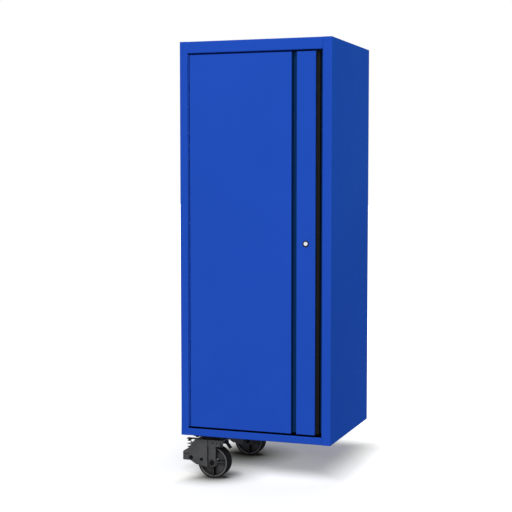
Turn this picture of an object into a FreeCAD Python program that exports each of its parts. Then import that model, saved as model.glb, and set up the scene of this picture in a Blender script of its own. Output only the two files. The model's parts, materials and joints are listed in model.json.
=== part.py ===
import FreeCAD, Part
import math
import os

# Side locker that bolts to the end of a roller cabinet, in millimetres.
# Modelling axes: x to the right from the left side's outer face, y back from the
# frame's front face, z up from the cabinet's lower edge. Every shape is moved by
# -ORIGIN when it is written, so the frame's origin is the centre of the outer face
# of the right side, where the locker is bolted on.

os.makedirs("parts", exist_ok=True)

V = FreeCAD.Vector

# ---------------------------------------------------------------- driving sizes

# cabinet
WIDTH = 612.5
DEPTH = 556.0
HEIGHT = 1537.0
CABINET_SHEET = 1.5
BACK_SHEET = 1.0
FOLD_RADIUS = 2.0
LEFT_BORDER = 33.0
RIGHT_BORDER = 36.0
TOP_BORDER = 45.0
BOTTOM_BORDER = 29.5
STOP_LIP = 16.0
LATCH_LIP = 26.0
BACK_FLANGE = 14.0

# bolts into the roller cabinet
SIDE_HOLE_RADIUS = 4.25
SIDE_HOLE_INSET = 156.0
SIDE_HOLE_RISE = 222.0
DOUBLER_SIZE = 40.0
DOUBLER_THICKNESS = 3.0

# door
DOOR_SHEET = 1.2
DOOR_THICKNESS = 38.0
DOOR_TOP_GAP = 7.0
DOOR_BOTTOM_GAP = 7.5
STIFFENER_COUNT = 2
STIFFENER_WIDTH = 40.0
STIFFENER_FOOT = 14.0
STIFFENER_END_GAP = 25.0
SEAL_THICKNESS = 3.7
SEAL_WIDTH = 12.0

# pull side of the door
GROOVE_WIDTH = 21.0
GROOVE_DEPTH = 28.0
STRIP_WIDTH = 74.0
STRIP_HEAD = 11.0
STRIP_STEM = 46.0
STRIP_WALL = 2.0
STRIP_EDGE_RADIUS = 1.5
STRIP_CAP = 1.5
CAP_LUG = 8.0
FINGER_GAP = 26.0
REAR_EDGE_GAP = 18.0
TRIM_THICKNESS = 1.5
TRIM_RETURN = 297.0
STRIP_SCREW_PITCH = 300.0
STRIP_SCREW_EDGE = 50.0
SCREW_SHANK = 2.0
SCREW_HEAD = 3.8
SCREW_HEAD_HEIGHT = 2.4
SCREW_TIP = 2.0

# piano hinge
HINGE_GAP = 7.5
BARREL_INSET = 0.75
BARREL_RISE = 1.5
LEAF_SHEET = 1.2
LEAF_DEPTH = 24.0
LEAF_SETBACK = 0.75
KNUCKLE_PITCH = 50.0
KNUCKLE_GAP = 0.5
RIVET_PITCH = 150.0
RIVET_EDGE = 40.0
RIVET_SHANK = 2.0
RIVET_HEAD = 3.4
RIVET_HEAD_HEIGHT = 1.2
RIVET_TAIL = 1.5

# cam lock
LOCK_HEIGHT = 765.0
LOCK_BARREL_RADIUS = 9.5
LOCK_BEZEL_RADIUS = 12.5
LOCK_BEZEL_HEIGHT = 2.5
LOCK_FACE_RADIUS = 9.0
LOCK_FACE_THICKNESS = 1.6
LOCK_FACE_RISE = 0.5
PLUG_RADIUS = 6.5
KEYWAY_HEIGHT = 8.0
KEYWAY_WIDTH = 1.8
KEYWAY_DEPTH = 1.2
LOCK_NUT_FLATS = 25.0
LOCK_NUT_THICKNESS = 3.5
LOCK_TAIL = 1.5
CAM_LENGTH = 54.0
CAM_WIDTH = 16.0
CAM_THICKNESS = 2.5
CAM_CLEARANCE = 2.0
CAM_SQUARE = 8.0
CAM_SCREW_RADIUS = 2.0
CAM_SCREW_HEAD = 5.5
CAM_SCREW_HEIGHT = 2.2
CAM_SCREW_LENGTH = 8.0

# magnetic catches
CATCH_INSET = 128.0
CATCH_WIDTH = 50.0
CATCH_HEIGHT = 16.0
CATCH_DEPTH = 20.0
CATCH_FLANGE = 2.5
CATCH_FLANGE_REACH = 12.0
MAGNET_WIDTH = 36.0
MAGNET_HEIGHT = 10.0
MAGNET_DEPTH = 14.0
MAGNET_PROUD = 0.8
STRIKE_WIDTH = 40.0
STRIKE_HEIGHT = 14.0
STRIKE_THICKNESS = 1.5

# shelves
SHELF_COUNT = 3
SHELF_SHEET = 1.2
SHELF_LIP = 25.0
SHELF_FRONT = 62.0
SHELF_BACK_GAP = 6.0
SHELF_SIDE_GAP = 1.0
STANDARD_SHEET = 1.2
STANDARD_WEB = 20.0
STANDARD_FOOT = 7.0
STANDARD_DEPTH = 12.0
STANDARD_LIFT = 2.0
STANDARD_INSET = 33.0
SLOT_PITCH = 25.0
SLOT_WIDTH = 12.0
SLOT_HEIGHT = 4.0
SLOT_MARGIN = 20.0
CLIP_WIDTH = 10.0
CLIP_SHEET = 1.5
CLIP_REACH = 18.0
CLIP_DROP = 20.0
CLIP_TONGUE = 2.4

# stiffening channel over the casters
CHANNEL_WIDTH = 126.0
CHANNEL_SHEET = 3.0
CHANNEL_HEIGHT = 20.0
CHANNEL_END_GAP = 4.0

# casters
CASTER_INSET_X = 100.5
CASTER_INSET_Y = 70.0
PLATE_LENGTH = 114.0
PLATE_WIDTH = 102.0
PLATE_THICKNESS = 6.0
PLATE_CORNER = 6.0
BOLT_SPACING_X = 86.0
BOLT_SPACING_Y = 76.0
BOLT_RADIUS = 4.0
BOLT_FLATS = 13.0
BOLT_HEAD_HEIGHT = 5.3
BOLT_NUT_HEIGHT = 6.5
BOLT_THREAD_SPARE = 2.0
RACE_OUTER = 36.0
RACE_INNER = 24.0
RACE_HEIGHT = 14.7
KINGPIN_RADIUS = 8.0
KINGPIN_FLATS = 24.0
KINGPIN_NUT_HEIGHT = 8.0

# wheels
WHEEL_RADIUS = 63.5
WHEEL_WIDTH = 50.8
WHEEL_LEAD = 16.0
AXLE_DROP = 111.5
TYRE_DEPTH = 5.0
TYRE_SHOULDER = 2.8
RIM_THICKNESS = 5.0
RIM_WIDTH = 44.0
WEB_THICKNESS = 10.0
HUB_RADIUS = 19.0
HUB_WIDTH = 54.0
RIB_COUNT = 4
RIB_THICKNESS = 3.0
RIB_WIDTH = 36.0
AXLE_RADIUS = 6.0
SLEEVE_WALL = 2.0
AXLE_FLATS = 18.0
AXLE_HEAD_HEIGHT = 7.0
AXLE_NUT_HEIGHT = 9.0

# fork
FORK_SHEET = 5.0
FORK_GAP = 58.0
CROWN_BEHIND = 52.0
CROWN_AHEAD = 62.0
CROWN_SKIRT = 26.0
LEG_WIDTH = 30.0
LEG_FILLET = 6.0

# brake
BRAKE_SHEET = 3.0
BRAKE_LEG_SLOT = 4.0
COVER_TOP_EDGE = 3.0
BRAKE_BOTTOM = 130.0
BRAKE_REACH = 81.5
BRAKE_TOP_BEHIND = 56.0
BRAKE_CHEEK_BEHIND = 70.0
BRAKE_CHEEK_DROP = 37.0
BRAKE_SHOULDER_DROP = 58.0
BRAKE_HEEL_BEHIND = 77.5
BRAKE_HEEL_DROP = 105.5
BRAKE_BELLY_BEHIND = 52.0
BRAKE_BELLY_DROP = 121.0
BRAKE_CORNER = 5.0
PIVOT_BEHIND = 72.0
PIVOT_DROP = 96.0
PIVOT_RADIUS = 5.0
PIVOT_HEAD = 8.0
PIVOT_HEAD_HEIGHT = 2.5
TIE_BEHIND = 58.0
TIE_DROP = 44.0
TIE_RADIUS = 4.0
COVER_BOLT_BEHIND = 27.0
COVER_BOLT_DROP = 100.0
COVER_BOLT_HEAD = 6.0
COVER_BOLT_HEIGHT = 3.0
SPRING_BEHIND = 92.5
SPRING_RADIUS = 8.0
SPRING_WIRE = 1.8
SPRING_TURNS = 3
SPRING_SEAT_LENGTH = 5.0
SPRING_SEAT_THICKNESS = 3.0
SPRING_SEAT_WIDTH = 20.0
PEDAL_REACH = 109.0
PEDAL_TOP = 70.0
PEDAL_NOSE_TOP = 74.5
PEDAL_BOTTOM = 108.5
PEDAL_WIDTH = 62.0
PEDAL_WALL = 3.0
PEDAL_CORNER = 3.5
SHOE_GAP = 5.0
SHOE_THICKNESS = 7.0
SHOE_SPAN = 16.0
SHOE_WIDTH = 46.0

# guard strip ahead of the crown
GUARD_WIDTH = 26.0
GUARD_SHEET = 3.5
GUARD_SEAT = 24.0
GUARD_REACH = 85.0
GUARD_DROP = 54.0

# fits
RUNNING = 0.05
SNUG = 0.1
LOOSE = 0.3
HOLE_PLAY = 0.4

# --------------------------------------------------------------- worked-out sizes

ORIGIN = V(WIDTH, DEPTH / 2, HEIGHT / 2)

INNER_RIGHT = WIDTH - CABINET_SHEET
INNER_BACK = DEPTH - CABINET_SHEET - BACK_SHEET
OPENING_LEFT = LEFT_BORDER
OPENING_RIGHT = WIDTH - RIGHT_BORDER
OPENING_BOTTOM = BOTTOM_BORDER
OPENING_TOP = HEIGHT - TOP_BORDER
STOP_FACE = DOOR_THICKNESS + LOOSE + SEAL_THICKNESS
STOP_BACK = STOP_FACE + CABINET_SHEET

DOOR_LEFT = OPENING_LEFT + HINGE_GAP
DOOR_BOTTOM = OPENING_BOTTOM + DOOR_BOTTOM_GAP
DOOR_TOP = OPENING_TOP - DOOR_TOP_GAP
DOOR_INNER_FACE = DOOR_THICKNESS - DOOR_SHEET
STRIP_RIGHT = OPENING_RIGHT - FINGER_GAP
STRIP_LEFT = STRIP_RIGHT - STRIP_WIDTH
STRIP_CENTRE = (STRIP_LEFT + STRIP_RIGHT) / 2
STEM_LEFT = STRIP_CENTRE - STRIP_STEM / 2
STEM_RIGHT = STRIP_CENTRE + STRIP_STEM / 2
PANEL_RIGHT = STRIP_LEFT - GROOVE_WIDTH
DOOR_RIGHT = OPENING_RIGHT - REAR_EDGE_GAP

HINGE_X = OPENING_LEFT + HINGE_GAP / 2
HINGE_Y = BARREL_RISE
BARREL_RADIUS = HINGE_GAP / 2 - BARREL_INSET
PIN_RADIUS = BARREL_RADIUS - LEAF_SHEET - RUNNING
LEAF_FRONT = HINGE_Y + BARREL_RADIUS + LEAF_SETBACK
LEAF_BACK = LEAF_FRONT + LEAF_DEPTH
KNUCKLE_COUNT = 2 * round((DOOR_TOP - DOOR_BOTTOM) / KNUCKLE_PITCH / 2) + 1

CAM_FRONT = STOP_BACK + CAM_CLEARANCE
CAM_BACK = CAM_FRONT + CAM_THICKNESS
LOCK_BACK = DOOR_THICKNESS + LOCK_NUT_THICKNESS + LOCK_TAIL

STANDARD_FACE = CABINET_SHEET + STANDARD_DEPTH
STANDARD_BOTTOM = OPENING_BOTTOM + STANDARD_LIFT
STANDARD_TOP = OPENING_TOP
SHELF_LEFT = STANDARD_FACE + SHELF_SIDE_GAP
SHELF_RIGHT = WIDTH - SHELF_LEFT
SHELF_BACK = INNER_BACK - SHELF_BACK_GAP
STANDARD_PLACES = (SHELF_FRONT + STANDARD_INSET, SHELF_BACK - STANDARD_INSET)
FIRST_SLOT = STANDARD_BOTTOM + SLOT_MARGIN
SLOT_COUNT = int((STANDARD_TOP - SLOT_MARGIN - FIRST_SLOT) / SLOT_PITCH) + 1

CASTER_PLACES = {
    "front": V(CASTER_INSET_X, CASTER_INSET_Y, 0),
    "rear": V(CASTER_INSET_X, DEPTH - CASTER_INSET_Y, 0),
}
CROWN_TOP = -(PLATE_THICKNESS + RACE_HEIGHT + LOOSE)
CROWN_UNDER = CROWN_TOP - FORK_SHEET
LEG_INNER = FORK_GAP / 2
LEG_OUTER = LEG_INNER + FORK_SHEET
COVER_OUTER = LEG_OUTER + BRAKE_SHEET
AXLE_Z = -AXLE_DROP
RIM_RADIUS = WHEEL_RADIUS - TYRE_DEPTH


# ----------------------------------------------------------------------- helpers


def block(x0, x1, y0, y1, z0, z1):
    """Box between two corners."""
    return Part.makeBox(x1 - x0, y1 - y0, z1 - z0, V(x0, y0, z0))


def rod(radius, start, end):
    """Round bar between two points."""
    return Part.makeCylinder(radius, (end - start).Length, start, end - start)


def ring(outer, inner, start, end):
    """Tube between two points."""
    return rod(outer, start, end).cut(rod(inner, start, end))


def hexagon(flats, start, end):
    """Six-sided bar between two points, measured across its flats."""
    along = end - start
    side = along.cross(V(1, 0, 0))
    if side.Length < 1e-6:
        side = along.cross(V(0, 0, 1))
    side.normalize()
    corner = side * (flats / math.sqrt(3))
    turn = FreeCAD.Rotation(along, 60)
    points = []
    for _ in range(6):
        points.append(start + corner)
        corner = turn.multVec(corner)
    face = Part.Face(Part.makePolygon(points + points[:1]))
    return face.extrude(along)


def in_space(point, normal, level):
    """Place a flat point on the plane that lies across the named axis."""
    a, b = point
    return {"x": V(level, a, b), "y": V(a, level, b), "z": V(a, b, level)}[normal]


def outline(points, radii, normal, level):
    """Closed wire through flat points, each corner rounded to its own radius."""
    starts, ends, middles = [], [], []
    for i, point in enumerate(points):
        corner = in_space(point, normal, level)
        before = (in_space(points[i - 1], normal, level) - corner).normalize()
        after = (in_space(points[(i + 1) % len(points)], normal, level) - corner).normalize()
        half = before.getAngle(after) / 2
        run = radii[i] / math.tan(half) if radii[i] else 0.0
        starts.append(corner + before * run)
        ends.append(corner + after * run)
        bisector = (before + after).normalize() if radii[i] else V(0, 0, 0)
        middles.append(corner + bisector * (radii[i] / math.sin(half) - radii[i]))
    edges = []
    for i, radius in enumerate(radii):
        if radius:
            edges.append(Part.Arc(starts[i], middles[i], ends[i]).toShape())
        following = starts[(i + 1) % len(radii)]
        if (following - ends[i]).Length > 1e-6:
            edges.append(Part.makeLine(ends[i], following))
    return Part.Wire(edges)


def prism(points, radii, normal, low, high):
    """Solid with a flat outline, between two levels along the named axis."""
    face = Part.Face(outline(points, radii, normal, low))
    return face.extrude(in_space((0, 0), normal, high - low))


def folded(path, thickness, fold):
    """Outline of a folded sheet: path is one face, the metal lies to its left."""
    faces = []
    for (x0, y0), (x1, y1) in zip(path, path[1:]):
        length = math.hypot(x1 - x0, y1 - y0)
        faces.append(((x1 - x0) / length, (y1 - y0) / length))
    first, last = faces[0], faces[-1]
    other = [(path[0][0] - first[1] * thickness, path[0][1] + first[0] * thickness)]
    path_radii, other_radii = [0.0], [0.0]
    for (x, y), (ax, ay), (bx, by) in zip(path[1:], faces, faces[1:]):
        turn = ax * by - ay * bx
        shift = thickness / (1 + ax * bx + ay * by)
        other.append((x - (ay + by) * shift, y + (ax + bx) * shift))
        path_radii.append(fold + thickness if turn > 0 else fold)
        other_radii.append(fold if turn > 0 else fold + thickness)
    other.append((path[-1][0] - last[1] * thickness, path[-1][1] + last[0] * thickness))
    path_radii.append(0.0)
    other_radii.append(0.0)
    return path + other[::-1], path_radii + other_radii[::-1]


def swapped(points):
    """Flat points with their two coordinates exchanged."""
    return [(b, a) for a, b in points]


def lathe_y(points, centre):
    """Solid turned about the line through centre along y, from (radius, y) points."""
    places = [centre + V(radius, y, 0) for radius, y in points]
    face = Part.Face(Part.makePolygon(places + places[:1]))
    return face.revolve(centre, V(0, 1, 0), 360)


def mirror_x(shape):
    """Copy on the other side of the cabinet's middle."""
    return shape.mirror(V(WIDTH / 2, 0, 0), V(1, 0, 0))


def mirror_y(shape):
    """Copy on the other side of a caster's own middle plane."""
    return shape.mirror(V(0, 0, 0), V(0, 1, 0))


def mirror_z(shape):
    """Copy at the other end of the cabinet's height."""
    return shape.mirror(V(0, 0, HEIGHT / 2), V(0, 0, 1))


def spaced(low, high, pitch):
    """Evenly spread places from low to high, about one pitch apart."""
    steps = max(1, round((high - low) / pitch))
    return [low + (high - low) * i / steps for i in range(steps + 1)]


def write(name, *solids):
    """Move a node's solids into the part's frame and write them as one STEP file."""
    shape = solids[0] if len(solids) == 1 else Part.makeCompound(list(solids))
    moved = shape.copy()
    moved.translate(ORIGIN * -1)
    moved.exportStep(f"parts/{name}.step")


# ----------------------------------------------------------------------- cabinet


def border_path(border):
    """Path of a panel folded round to the opening's return: (inward, back) points."""
    return [
        (BACK_FLANGE, DEPTH),
        (0, DEPTH),
        (0, 0),
        (border, 0),
        (border, STOP_FACE),
    ]


def side_panel(border):
    """Left side: wall, front border, return and rear flange."""
    points, radii = folded(border_path(border), CABINET_SHEET, FOLD_RADIUS)
    panel = prism(points, radii, "z", 0, HEIGHT)
    trims = []
    for low in (0, HEIGHT - CABINET_SHEET):
        trims.append(
            block(
                CABINET_SHEET,
                border,
                CABINET_SHEET,
                DEPTH - CABINET_SHEET,
                low,
                low + CABINET_SHEET,
            )
        )
    return panel.cut(trims)


def stop_strip(border, lip):
    """Left door stop: flat strip welded to the end of the side panel's return."""
    return block(
        border - CABINET_SHEET,
        border + lip,
        STOP_FACE,
        STOP_BACK,
        OPENING_BOTTOM - CABINET_SHEET,
        OPENING_TOP + CABINET_SHEET,
    )


def rail_panel(border):
    """Bottom sheet with its front rail, return, stop lip and rear flange."""
    path = border_path(border) + [(border + STOP_LIP, STOP_FACE)]
    points, radii = folded(path, CABINET_SHEET, FOLD_RADIUS)
    panel = prism(swapped(points), radii, "x", OPENING_LEFT, OPENING_RIGHT)
    front = STOP_FACE - FOLD_RADIUS
    for left, right in (
        (OPENING_LEFT, OPENING_LEFT + STOP_LIP),
        (OPENING_RIGHT - LATCH_LIP, OPENING_RIGHT),
    ):
        panel = panel.cut(block(left, right, front, STOP_BACK, 2 * CABINET_SHEET, HEIGHT))
    wings = []
    for x0, x1 in ((CABINET_SHEET, OPENING_LEFT), (OPENING_RIGHT, INNER_RIGHT)):
        wings.append(
            block(x0, x1, CABINET_SHEET, DEPTH - CABINET_SHEET, 0, CABINET_SHEET)
        )
    return panel.fuse(wings).removeSplitter()


def side_bolts(radius, x0, x1):
    """Round bars along x through the four bolt places of the right side."""
    bars = []
    for y in (SIDE_HOLE_INSET, DEPTH - SIDE_HOLE_INSET):
        for z in (SIDE_HOLE_RISE, HEIGHT - SIDE_HOLE_RISE):
            bars.append(rod(radius, V(x0, y, z), V(x1, y, z)))
    return bars


def caster_bolt_places():
    """Where the bolts of both casters stand, on the cabinet's lower face."""
    places = []
    for centre in CASTER_PLACES.values():
        for dx in (-BOLT_SPACING_X / 2, BOLT_SPACING_X / 2):
            for dy in (-BOLT_SPACING_Y / 2, BOLT_SPACING_Y / 2):
                places.append(centre + V(dx, dy, 0))
    return places


def caster_bolt_holes(low, high):
    """Clearance holes for every caster bolt between two heights."""
    radius = BOLT_RADIUS + HOLE_PLAY
    return [rod(radius, p + V(0, 0, low), p + V(0, 0, high)) for p in caster_bolt_places()]


def hinge_rivet_places():
    """Heights of the rivets of either hinge leaf."""
    return spaced(DOOR_BOTTOM + RIVET_EDGE, DOOR_TOP - RIVET_EDGE, RIVET_PITCH)


def hinge_rivet_holes(x0, x1):
    """Rivet holes through one hinge leaf and the sheet that it lies on."""
    y = (LEAF_FRONT + LEAF_BACK) / 2
    radius = RIVET_SHANK + RUNNING
    return [rod(radius, V(x0, y, z), V(x1, y, z)) for z in hinge_rivet_places()]


def build_cabinet():
    """Sheet metal shell, inner floor, caster channel and bolting plates."""
    left = side_panel(LEFT_BORDER)
    left = left.cut(hinge_rivet_holes(OPENING_LEFT - 2 * CABINET_SHEET, OPENING_LEFT + 1))
    write("left_side_panel", left, stop_strip(LEFT_BORDER, STOP_LIP))

    right = mirror_x(side_panel(RIGHT_BORDER))
    right = right.cut(side_bolts(SIDE_HOLE_RADIUS, INNER_RIGHT - 1, WIDTH + 1))
    write("right_side_panel", right, mirror_x(stop_strip(RIGHT_BORDER, LATCH_LIP)))

    write("top_panel", mirror_z(rail_panel(TOP_BORDER)))
    bottom = rail_panel(BOTTOM_BORDER)
    write("bottom_panel", bottom.cut(caster_bolt_holes(-1, CABINET_SHEET + 1)))

    edge = CABINET_SHEET + FOLD_RADIUS
    rear = INNER_BACK + BACK_SHEET
    back = block(edge, WIDTH - edge, INNER_BACK, rear, edge, HEIGHT - edge)
    write("back_panel", back)

    write("floor_panel", floor_panel())
    write("caster_channel", caster_channel())

    doublers = []
    half = DOUBLER_SIZE / 2
    holes = side_bolts(SIDE_HOLE_RADIUS, INNER_RIGHT - DOUBLER_THICKNESS - 1, INNER_RIGHT + 1)
    for y in (SIDE_HOLE_INSET, DEPTH - SIDE_HOLE_INSET):
        for z in (SIDE_HOLE_RISE, HEIGHT - SIDE_HOLE_RISE):
            plate = block(
                INNER_RIGHT - DOUBLER_THICKNESS, INNER_RIGHT, y - half, y + half, z - half, z + half
            )
            doublers.append(plate.cut(holes))
    write("bolting_plates", *doublers)


def floor_panel():
    """Inner floor level with the bottom rail, standing on its two folded sides."""
    path = [
        (INNER_RIGHT, CABINET_SHEET),
        (INNER_RIGHT, OPENING_BOTTOM),
        (CABINET_SHEET, OPENING_BOTTOM),
        (CABINET_SHEET, CABINET_SHEET),
    ]
    points, radii = folded(path, CABINET_SHEET, FOLD_RADIUS)
    return prism(points, radii, "y", STOP_BACK, DEPTH - CABINET_SHEET - FOLD_RADIUS)


def caster_channel():
    """Upright channel that spreads the load of both casters over the bottom sheet."""
    left = CASTER_INSET_X - CHANNEL_WIDTH / 2
    right = CASTER_INSET_X + CHANNEL_WIDTH / 2
    top = CABINET_SHEET + CHANNEL_HEIGHT
    path = [(left, top), (left, CABINET_SHEET), (right, CABINET_SHEET), (right, top)]
    points, radii = folded(path, CHANNEL_SHEET, FOLD_RADIUS)
    front = CABINET_SHEET + CHANNEL_END_GAP
    channel = prism(points, radii, "y", front, INNER_BACK - CHANNEL_END_GAP)
    return channel.cut(caster_bolt_holes(0, CABINET_SHEET + CHANNEL_SHEET + 1))


def build_seal():
    """Four soft strips on the stop lip that the closed door lies on."""
    front = STOP_FACE - SEAL_THICKNESS
    left = OPENING_LEFT + FOLD_RADIUS
    bottom = OPENING_BOTTOM + FOLD_RADIUS
    top = OPENING_TOP - FOLD_RADIUS
    inner_left = left + SEAL_WIDTH
    inner_right = OPENING_RIGHT - LATCH_LIP
    strips = [
        block(left, inner_left, front, STOP_FACE, bottom, top),
        block(inner_right, DOOR_RIGHT, front, STOP_FACE, bottom, top),
        block(inner_left, inner_right, front, STOP_FACE, bottom, bottom + SEAL_WIDTH),
        block(inner_left, inner_right, front, STOP_FACE, top - SEAL_WIDTH, top),
    ]
    write("door_seal", *strips)


# ----------------------------------------------------------------------- shelves


def slot_height(index):
    """Middle of one slot of a shelf standard."""
    return FIRST_SLOT + SLOT_PITCH * index


def shelf_slots():
    """Slot that carries each shelf, so that the shelves are evenly spread."""
    return [round(SLOT_COUNT * (i + 1) / (SHELF_COUNT + 1)) for i in range(SHELF_COUNT)]


def shelf_standard(y):
    """Slotted hat channel on the left wall, centred on one depth."""
    half = STANDARD_WEB / 2
    foot_face = CABINET_SHEET + STANDARD_SHEET
    path = [
        (foot_face, y - half - STANDARD_FOOT),
        (foot_face, y - half),
        (STANDARD_FACE, y - half),
        (STANDARD_FACE, y + half),
        (foot_face, y + half),
        (foot_face, y + half + STANDARD_FOOT),
    ]
    points, radii = folded(path, STANDARD_SHEET, STANDARD_SHEET / 2)
    hat = prism(points, radii, "z", STANDARD_BOTTOM, STANDARD_TOP)
    slots = []
    for index in range(SLOT_COUNT):
        z = slot_height(index)
        slots.append(
            block(
                STANDARD_FACE - 2 * STANDARD_SHEET,
                STANDARD_FACE + 1,
                y - SLOT_WIDTH / 2,
                y + SLOT_WIDTH / 2,
                z - SLOT_HEIGHT / 2,
                z + SLOT_HEIGHT / 2,
            )
        )
    return hat.cut(Part.makeCompound(slots))


def shelf_clip(y, index):
    """Clip on the left wall: hook in the slot, tab on the standard, tongue under the shelf."""
    z = slot_height(index)
    low, high = y - CLIP_WIDTH / 2, y + CLIP_WIDTH / 2
    tongue_top = z + CLIP_TONGUE / 2
    hook = block(
        STANDARD_FACE - STANDARD_SHEET - CLIP_SHEET,
        STANDARD_FACE,
        low,
        high,
        z - CLIP_TONGUE / 2,
        tongue_top,
    )
    tab = block(
        STANDARD_FACE, STANDARD_FACE + CLIP_SHEET, low, high, tongue_top - CLIP_DROP, tongue_top
    )
    tongue = block(
        STANDARD_FACE, STANDARD_FACE + CLIP_REACH, low, high, tongue_top - CLIP_SHEET, tongue_top
    )
    return hook.fuse([tab, tongue]).removeSplitter()


def shelf(index):
    """Shelf with a lip folded down at its front and back, lying on its clips."""
    low = slot_height(index) + CLIP_TONGUE / 2
    top = low + SHELF_SHEET
    path = [
        (SHELF_BACK, top - SHELF_LIP),
        (SHELF_BACK, top),
        (SHELF_FRONT, top),
        (SHELF_FRONT, top - SHELF_LIP),
    ]
    points, radii = folded(path, SHELF_SHEET, FOLD_RADIUS)
    return prism(points, radii, "x", SHELF_LEFT, SHELF_RIGHT)


def build_shelves():
    """Standards on both walls, the clips hooked in them and the shelves."""
    for place, y in zip(("front", "rear"), STANDARD_PLACES):
        standard = shelf_standard(y)
        write(f"left_{place}_standard", standard)
        write(f"right_{place}_standard", mirror_x(standard))
    clips = []
    for number, index in enumerate(shelf_slots(), 1):
        write(f"shelf_{number}", shelf(index))
        for y in STANDARD_PLACES:
            clip = shelf_clip(y, index)
            clips += [clip, mirror_x(clip)]
    write("shelf_clips", *clips)


# -------------------------------------------------------------------------- door


def lock_hole(y0, y1):
    """Hole for the lock's barrel through whatever lies between two depths."""
    radius = LOCK_BARREL_RADIUS + SNUG
    return rod(radius, V(STRIP_CENTRE, y0, LOCK_HEIGHT), V(STRIP_CENTRE, y1, LOCK_HEIGHT))


def strip_screw_places():
    """Heights of the screws that hold the pull strip, clear of the lock."""
    edge = STRIP_SCREW_EDGE
    lower = spaced(DOOR_BOTTOM + edge, LOCK_HEIGHT - edge, STRIP_SCREW_PITCH)
    upper = spaced(LOCK_HEIGHT + edge, DOOR_TOP - edge, STRIP_SCREW_PITCH)
    return lower + upper


def strip_screw_holes(y0, y1):
    """Holes for those screws between two depths."""
    radius = SCREW_SHANK + RUNNING
    x = STRIP_CENTRE
    return [rod(radius, V(x, y0, z), V(x, y1, z)) for z in strip_screw_places()]


def door_skin():
    """Front of the door left of the groove, with all four edges folded back."""
    path = [
        (DOOR_LEFT, DOOR_INNER_FACE),
        (DOOR_LEFT, 0),
        (PANEL_RIGHT, 0),
        (PANEL_RIGHT, DOOR_INNER_FACE),
    ]
    points, radii = folded(path, DOOR_SHEET, FOLD_RADIUS)
    skin = prism(points, radii, "z", DOOR_BOTTOM, DOOR_TOP)
    ends = []
    inset = DOOR_SHEET + FOLD_RADIUS
    for low in (DOOR_BOTTOM, DOOR_TOP - DOOR_SHEET):
        ends.append(
            block(
                DOOR_LEFT + DOOR_SHEET,
                PANEL_RIGHT - DOOR_SHEET,
                inset,
                DOOR_INNER_FACE,
                low,
                low + DOOR_SHEET,
            )
        )
        ends.append(
            block(
                DOOR_LEFT + inset, PANEL_RIGHT - inset, DOOR_SHEET, inset, low, low + DOOR_SHEET
            )
        )
    skin = skin.fuse(ends).removeSplitter()
    return skin.cut(hinge_rivet_holes(DOOR_LEFT - 1, DOOR_LEFT + 2 * DOOR_SHEET))


def pull_channel():
    """Floor of the groove and of the finger recess, with the door's rear right edge."""
    path = [
        (PANEL_RIGHT, GROOVE_DEPTH),
        (DOOR_RIGHT, GROOVE_DEPTH),
        (DOOR_RIGHT, DOOR_INNER_FACE),
    ]
    points, radii = folded(path, DOOR_SHEET, FOLD_RADIUS)
    channel = prism(points, radii, "z", DOOR_BOTTOM, DOOR_TOP)
    ends = []
    for low in (DOOR_BOTTOM, DOOR_TOP - DOOR_SHEET):
        ends.append(
            block(
                PANEL_RIGHT,
                DOOR_RIGHT - DOOR_SHEET,
                GROOVE_DEPTH + DOOR_SHEET + FOLD_RADIUS,
                DOOR_INNER_FACE,
                low,
                low + DOOR_SHEET,
            )
        )
        ends.append(
            block(
                PANEL_RIGHT,
                DOOR_RIGHT - DOOR_SHEET - FOLD_RADIUS,
                GROOVE_DEPTH + DOOR_SHEET,
                GROOVE_DEPTH + DOOR_SHEET + FOLD_RADIUS,
                low,
                low + DOOR_SHEET,
            )
        )
    channel = channel.fuse(ends).removeSplitter()
    back = DOOR_INNER_FACE
    return channel.cut([lock_hole(GROOVE_DEPTH - 1, back)] + strip_screw_holes(GROOVE_DEPTH - 1, back))


def strip_outline(inset):
    """Section of the pull strip, a wide head on a narrower stem, drawn in by an inset."""
    return [
        (STRIP_LEFT + inset, inset),
        (STRIP_RIGHT - inset, inset),
        (STRIP_RIGHT - inset, STRIP_HEAD - inset),
        (STEM_RIGHT - inset, STRIP_HEAD - inset),
        (STEM_RIGHT - inset, GROOVE_DEPTH - inset),
        (STEM_LEFT + inset, GROOVE_DEPTH - inset),
        (STEM_LEFT + inset, STRIP_HEAD - inset),
        (STRIP_LEFT + inset, STRIP_HEAD - inset),
    ]


def pull_strip():
    """Hollow extrusion whose head overhangs its stem, so that fingers hook behind it."""
    low, high = DOOR_BOTTOM + STRIP_CAP, DOOR_TOP - STRIP_CAP
    edge = STRIP_EDGE_RADIUS
    radii = [edge, edge, edge, 0, 0, 0, 0, edge]
    outer = prism(strip_outline(0), radii, "z", low, high)
    inner = prism(strip_outline(STRIP_WALL), [0] * 8, "z", low, high)
    cuts = [inner, lock_hole(-1, GROOVE_DEPTH + 1)]
    return outer.cut(cuts + strip_screw_holes(GROOVE_DEPTH - STRIP_WALL - 1, GROOVE_DEPTH + 1))


def strip_cap(low, high, lug_low, lug_high):
    """End cap of the pull strip, with a lug that fills the mouth of its hollow."""
    edge = STRIP_EDGE_RADIUS
    plate = prism(strip_outline(0), [edge, edge, edge, 0, 0, 0, 0, edge], "z", low, high)
    lug = prism(strip_outline(STRIP_WALL + SNUG), [0] * 8, "z", lug_low, lug_high)
    return plate.fuse(lug).removeSplitter()


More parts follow.
